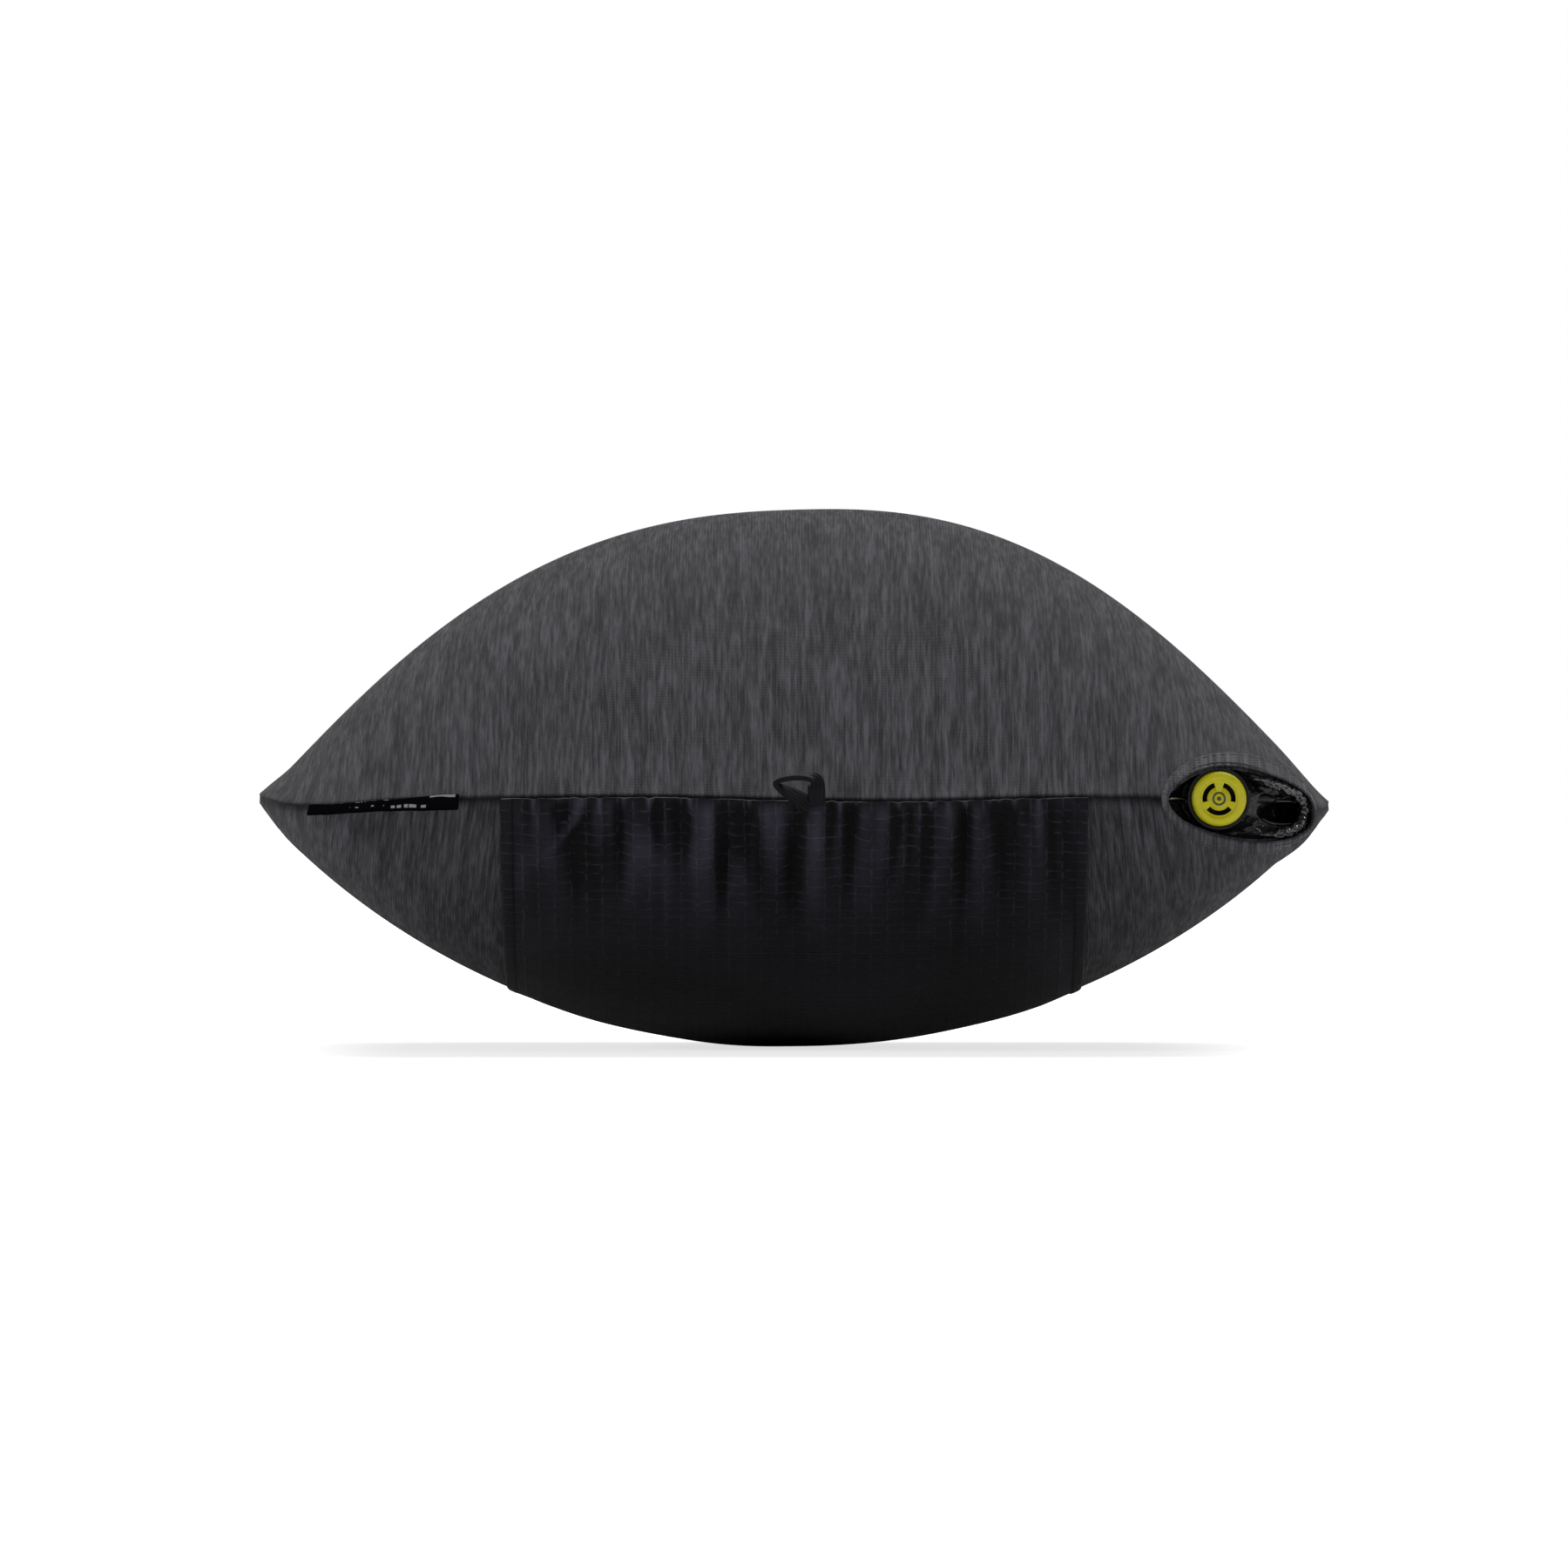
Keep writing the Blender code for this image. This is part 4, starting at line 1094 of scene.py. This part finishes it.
def edge_fold(name, rows):
    """A narrow raised strip of the sack's cloth. Each row gives its two edges and the outward direction."""
    last = len(rows) - 1
    lengths = lengths_along([row[0] for row in rows])
    bm = bmesh.new()
    bmesh.ops.create_grid(bm, x_segments=last, y_segments=EDGE_STEPS, size=0.5)
    places = []
    for vertex in bm.verts:
        step, share = round((vertex.co.x + 0.5) * last), vertex.co.y + 0.5
        outer, inner, up = rows[step]
        arch = (1 - abs(2 * share - 1) ** 4) * EDGE_HEIGHT
        vertex.co = outer.lerp(inner, share) + up * arch
        places.append((share * EDGE_WIDTH, lengths[step]))
    strip = finish_piece(bm, name, ripstop, 80)
    lay_out(strip, places)
    thicken(strip, SACK_THICKNESS)
    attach(strip, "pillow")
    return strip


for hand, column, inward in (("left", 0, 3), ("right", SACK_COLUMNS, -3)):
    rows = []
    stitch_line = []
    ups = []
    for j in range(SACK_ROWS + 1):
        edge = sack_points[column, j]
        across = (sack_points[column + inward, j] - edge).normalized()
        ahead = sack_points[column, min(SACK_ROWS, j + 1)] - sack_points[column, max(0, j - 1)]
        up = (ahead.cross(across) if hand == "left" else across.cross(ahead)).normalized()
        base = edge + up * 0.0001
        base.z = max(base.z, FLOOR_CLEAR)
        rows.append((base - across * 0.0003, base + across * EDGE_WIDTH, up))
        stitch_line.append(base + across * (EDGE_WIDTH * EDGE_STITCH_LINE) + up * EDGE_HEIGHT * 0.9)
        ups.append(up)
    strip = edge_fold(hand + "_edge_fold", rows)
    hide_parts("sack_" + hand + "_edge")
    row = stitch_row(hand + "_edge_stitches", stitch_line, ups)

# The sack's mouth is a hem that holds a flat elastic, which draws it into small gathers.


def squared_off(value, power):
    """A sine or cosine to a power below 1, with its sign kept, which fills out an ellipse's corners."""
    return abs(value) ** power * (1 if value > 0 else -1)


def close_tube(piece, sides):
    """Joins the long edges of a sheet rolled into a tube, once it is laid out, and closes its ends."""
    bm = bmesh.new()
    bm.from_mesh(piece.data)
    bmesh.ops.remove_doubles(bm, verts=bm.verts, dist=0.000005)
    bmesh.ops.holes_fill(bm, edges=bm.edges, sides=sides + 2)
    bmesh.ops.recalc_face_normals(bm, faces=bm.faces)
    bm.to_mesh(piece.data)
    bm.free()


HEM_STEPS, HEM_SIDES = 260, 28
hem_low, hem_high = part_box("sack_mouth_hem")
middle_y = (hem_low.y + hem_high.y) / 2
hem_half = (hem_high.y - hem_low.y) / 2
hem_stations = []
for i in range(HEM_STEPS + 1):
    x = SACK_HALF * (2 * i / HEM_STEPS - 1)
    spot = sack_lines[round(i * SACK_COLUMNS / HEM_STEPS)]
    near = min(spot, key=lambda point: abs(point.y - (middle_y - 0.004)))
    slope = (spot[-1] - near).normalized()
    down = Vector((0, slope.z, -slope.y)).normalized()
    if down.z > 0:
        down = -down
    gather = sin(i * tau / 6.5 + 2.4 * noise.noise(Vector((x * 60, 0, 0))))
    gather *= 0.6 + 0.5 * noise.noise(Vector((x * 90, 3, 0)))
    hem_stations.append((Vector((x, middle_y, near.lerp(spot[-1], 0.5).z)), slope, down, gather))
bm = bmesh.new()
bmesh.ops.create_grid(bm, x_segments=HEM_STEPS, y_segments=HEM_SIDES, size=0.5)
mouth_uv = []
for vertex in bm.verts:
    middle, slope, down, gather = hem_stations[round((vertex.co.x + 0.5) * HEM_STEPS)]
    angle = tau * (vertex.co.y + 0.5)
    along = slope * hem_half * squared_off(cos(angle), 0.6)
    depth = (0.0011 + 0.0004 * gather) * squared_off(sin(angle), 0.8)
    point = middle + along + down * (depth + 0.0009) + Vector((0, 0.0006 * gather, 0))
    vertex.co = (point.x, point.y, max(point.z, FLOOR_CLEAR * 0.7))
    mouth_uv.append((middle.x * 1.25, angle / tau * 0.026))
mouth_hem = finish_piece(bm, "mouth_hem", ripstop, 80)
lay_out(mouth_hem, mouth_uv)
close_tube(mouth_hem, HEM_SIDES)
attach(mouth_hem, "pillow")
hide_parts("sack_mouth_hem")

# ---------------------------------------------------------------- side label
# A strip of black satin is folded in half and caught in the seam near the left corner, fold outwards. It
# droops, so the front shows its upper ply edge on, with woven rows of pale dashes near the fold, and painted
# highlights, drawn as pale rows, along the seam.

label_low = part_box("side_label")[0]
satin, tree, shader = new_material("satin_label", Roughness=0.6, Specular_IOR_Level=0.0)
on_satin = position(tree, source="UV")
axes = add_node(tree, "ShaderNodeSeparateXYZ", {"Vector": on_satin})
threads = place_group(tree, weave, {"Vector": on_satin, "Threads": 3600.0})
dashes = noise_at(tree, position(tree, (1.0, 0.0, 0.0), "UV"), 620.0, 1.0)
mark = 0.0
# Each row of pale marks: its left, right, lower and upper edges on the satin, and how much of it is left out.
# The first two rows are woven dashes; the last two, along the root at the seam, are painted highlights.
for left, right, low, high, broken in (
    (0.0235, 0.0335, 0.0088, 0.0110, 0.46),
    (0.0105, 0.0215, 0.0086, 0.0096, 0.56),
    # Painted highlights: glints along the root, where the satin curls up at the seam.
    (0.0080, 0.0235, 0.0006, 0.0026, 0.52),
    (0.0345, 0.0418, 0.0004, 0.0030, 0.20),
):
    row = calculate(tree, "GREATER_THAN", dashes.outputs[0], broken)
    for axis, start, stop in (("X", left, right), ("Y", low, high)):
        above = calculate(tree, "GREATER_THAN", axes.outputs[axis], start)
        below = calculate(tree, "LESS_THAN", axes.outputs[axis], stop)
        row = calculate(tree, "MULTIPLY", row, calculate(tree, "MULTIPLY", above, below))
    mark = calculate(tree, "MAXIMUM", mark, row)
tint = two_colours(tree, mark, (0.0022, 0.0022, 0.0030), (0.20, 0.20, 0.21))
tree.links.new(tint.outputs["Color"], shader.inputs["Base Color"])
relief(tree, shader, threads["Height"], 0.00006)

LABEL_PLY = 0.00035
LABEL_WIDTH, LABEL_REACH = 0.0428, 0.0118


def level_rim(x):
    """The front seam at that x, before the pillow settles."""
    left = 1 - abs(x / HALF_WIDTH) ** level_power(1.0)
    return Vector((x, -HALF_LENGTH * left ** (1 / level_power(1.0)), 0))


def rim_point(x):
    """The front seam at that x, and the direction that points out of it."""
    tangent = (level_rim(x + 0.0005) - level_rim(x - 0.0005)).normalized()
    point = level_rim(x)
    forwards = Vector((tangent.y, -tangent.x, 0)).lerp(Vector((0, -1, 0)), 0.9).normalized()
    return settle((point.x, point.y, SEAM_Z), 1, 0.0), forwards


bm = bmesh.new()
bmesh.ops.create_grid(bm, x_segments=90, y_segments=48, size=0.5)
label_uv = []
for vertex in bm.verts:
    across, round_it = vertex.co.x + 0.5, vertex.co.y + 0.5
    root, outwards = rim_point(label_low.x + 0.0004 + across * LABEL_WIDTH)
    reach = LABEL_REACH * (1 - 0.05 * across)
    upper = round_it < 0.5
    out = reach * (2 * round_it if upper else 2 - 2 * round_it)
    bend = out / LABEL_REACH
    gap = 0.00022 + 0.00035 * sin(pi * bend) + 0.0002 * smooth((bend - 0.8) / 0.2) * (1 - bend)
    droop = -0.0027 * bend**1.4 + 0.0004 * sin(across * 5.0 + 0.6) * bend
    curl = 0.0010 * smooth((across - 0.55) / 0.45) * (1 - bend) ** 2
    curl += 0.00025 * sin(across * 31) * sin(pi * bend)
    edge = smooth(min(1.0, (1 - bend) / 0.06)) ** 0.5
    lift = (gap if upper else -gap) * edge
    vertex.co = root + outwards * (out - 0.0006) + Vector((0, 0, droop + lift + curl))
    label_uv.append((across * LABEL_WIDTH, (0.0 if upper else 0.02) + out))
side_label = finish_piece(bm, "satin_tab", satin, 80)
lay_out(side_label, label_uv)
thicken(side_label, LABEL_PLY)
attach(side_label, "pillow")
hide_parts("side_label")

# ---------------------------------------------------------------- hang loop
# A short length of ribbed webbing is doubled and caught in the middle of the seam. Its right leg stands up
# and faces forwards, and it turns over at the top and comes back down to the seam edge on.

webbing, tree, shader = new_material("webbing", Roughness=0.75, Specular_IOR_Level=0.15)
ribs = ribs_across(tree, 0.0011)
picks = ribs_across(tree, 0.00045, "Y")
web_height = calculate(tree, "MULTIPLY_ADD", picks.outputs["Color"], 0.3, ribs.outputs["Color"])
tint = two_colours(tree, web_height, (0.0035, 0.0035, 0.0045), (0.0070, 0.0070, 0.0090))
tree.links.new(tint.outputs["Color"], shader.inputs["Base Color"])
relief(tree, shader, web_height, 0.00022)

LOOP_WIDTH, LOOP_THICKNESS = 0.0050, 0.0015
# Each station: where its middle is from the foot, in millimetres along X, Y and Z, and the way its width
# points.
loop_stations = [
    ((6.4, 0.2, -1.8), (1.0, 0.0, 0.0)),
    ((6.4, -0.5, 1.0), (1.0, 0.0, 0.0)),
    ((6.3, -1.2, 3.6), (1.0, 0.05, 0.0)),
    ((5.6, -2.1, 5.2), (0.8, 0.6, 0.05)),
    ((3.4, -3.0, 5.9), (0.25, 0.97, 0.05)),
    ((0.2, -3.6, 6.0), (0.0, 1.0, 0.0)),
    ((-3.4, -4.0, 5.5), (0.0, 1.0, 0.0)),
    ((-5.4, -4.1, 4.6), (0.0, 1.0, 0.05)),
    ((-4.8, -3.8, 3.5), (0.05, 0.95, 0.20)),
    ((-2.5, -2.9, 2.1), (0.22, 0.82, 0.48)),
    ((0.2, -1.8, 0.6), (0.33, 0.62, 0.66)),
    ((2.8, -0.7, -0.9), (0.35, 0.5, 0.75)),
    ((4.2, 0.1, -1.9), (0.35, 0.4, 0.85)),
]
joints = {joint["name"]: joint for joint in frame["record"]["behaviour"]["joints"]}
hinge = Vector(joints["loop_swing"]["pos_m"])
loop_foot = Vector((0, hinge.y + 0.0022, hinge.z))
loop_line = curve_through([loop_foot + Vector(place) / 1000 for place, _ in loop_stations], 9)
loop_widths = curve_through([Vector(way) for _, way in loop_stations], 9)
loop_lengths = lengths_along(loop_line)
loop_last = len(loop_line) - 1
LOOP_SIDES = 20
bm = bmesh.new()
bmesh.ops.create_grid(bm, x_segments=loop_last, y_segments=LOOP_SIDES, size=0.5)
web_uv = []
for vertex in bm.verts:
    step, angle = round((vertex.co.x + 0.5) * loop_last), tau * (vertex.co.y + 0.5)
    along = (loop_line[min(step + 1, loop_last)] - loop_line[max(step - 1, 0)]).normalized()
    width = (loop_widths[step] - along * loop_widths[step].dot(along)).normalized()
    up = along.cross(width).normalized()
    flat, thick = squared_off(cos(angle), 0.35), squared_off(sin(angle), 0.6)
    vertex.co = loop_line[step] + width * flat * LOOP_WIDTH / 2 + up * thick * LOOP_THICKNESS / 2
    web_uv.append(((flat + 1) * LOOP_WIDTH / 2, loop_lengths[step]))
hang_loop = finish_piece(bm, "loop_webbing", webbing, 60)
lay_out(hang_loop, web_uv)
close_tube(hang_loop, LOOP_SIDES)
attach(hang_loop, "hang_loop")
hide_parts("hang_loop")

# ---------------------------------------------------------------- stage
# A pale floor under an even glow, a broad soft sun from above with a small window lamp on either side, and a
# long lens square on to the side with the valve.

floor_mat, tree, shader = new_material("pale_floor", Roughness=0.9, Emission_Strength=1.0)
seen = add_node(tree, "ShaderNodeLightPath")
lit = add_node(tree, "ShaderNodeMapRange", {"Value": seen.outputs["Is Camera Ray"], "To Max": 0.7})
tree.links.new(lit.outputs["Result"], shader.inputs["Emission Color"])
speckle = noise_at(tree, position(tree), 3.0, 2.0)
tone = add_node(tree, "ShaderNodeMapRange", {"Value": speckle.outputs[0], "To Min": 0.90, "To Max": 0.93})
tree.links.new(tone.outputs[0], shader.inputs["Base Color"])
bm = bmesh.new()
bmesh.ops.create_grid(bm, x_segments=8, y_segments=8, size=30.0)
floor = finish_piece(bm, "floor", floor_mat)

world = bpy.data.worlds.new("studio")
bpy.context.scene.world = world
world.use_nodes = True
backdrop = world.node_tree.nodes["Background"]
backdrop.inputs["Color"].default_value = (1.0, 1.0, 1.0, 1.0)
tree = world.node_tree
ray = add_node(tree, "ShaderNodeLightPath")
glow = add_node(tree, "ShaderNodeMapRange", {"Value": ray.outputs["Is Camera Ray"], "To Min": 0.16})
tree.links.new(glow.outputs["Result"], backdrop.inputs["Strength"])
sky = bpy.data.lights.new("soft_sky", "SUN")
sky.energy, sky.angle = 2.95, radians(60)
overhead = bpy.data.objects.new("soft_sky", sky)
overhead.rotation_euler = (radians(-28), radians(4), 0)
bpy.context.scene.collection.objects.link(overhead)
for name, place, size, power in (
    ("left_window", (-2.1, -2.1, 0.75), 0.45, 20.0),
    ("right_window", (2.2, -1.7, 0.6), 0.35, 12.0),
):
    lamp = bpy.data.lights.new(name, "AREA")
    lamp.size, lamp.energy = size, power
    light = bpy.data.objects.new(name, lamp)
    light.location = place
    light.rotation_euler = (Vector((0, 0, SEAM_Z)) - Vector(place)).to_track_quat("-Z", "Y").to_euler()
    bpy.context.scene.collection.objects.link(light)

camera_data = bpy.data.cameras.new("camera")
camera_data.lens, camera_data.sensor_width = 480.0, 36.0  # millimetres
camera_data.clip_end = 200.0
camera = bpy.data.objects.new("camera", camera_data)
camera.location = (-0.003, -6.208, SEAM_Z + 0.00425)
camera.rotation_euler = (radians(90), 0, 0)
bpy.context.scene.collection.objects.link(camera)
bpy.context.scene.camera = camera
bpy.context.scene.view_settings.view_transform = "Standard"
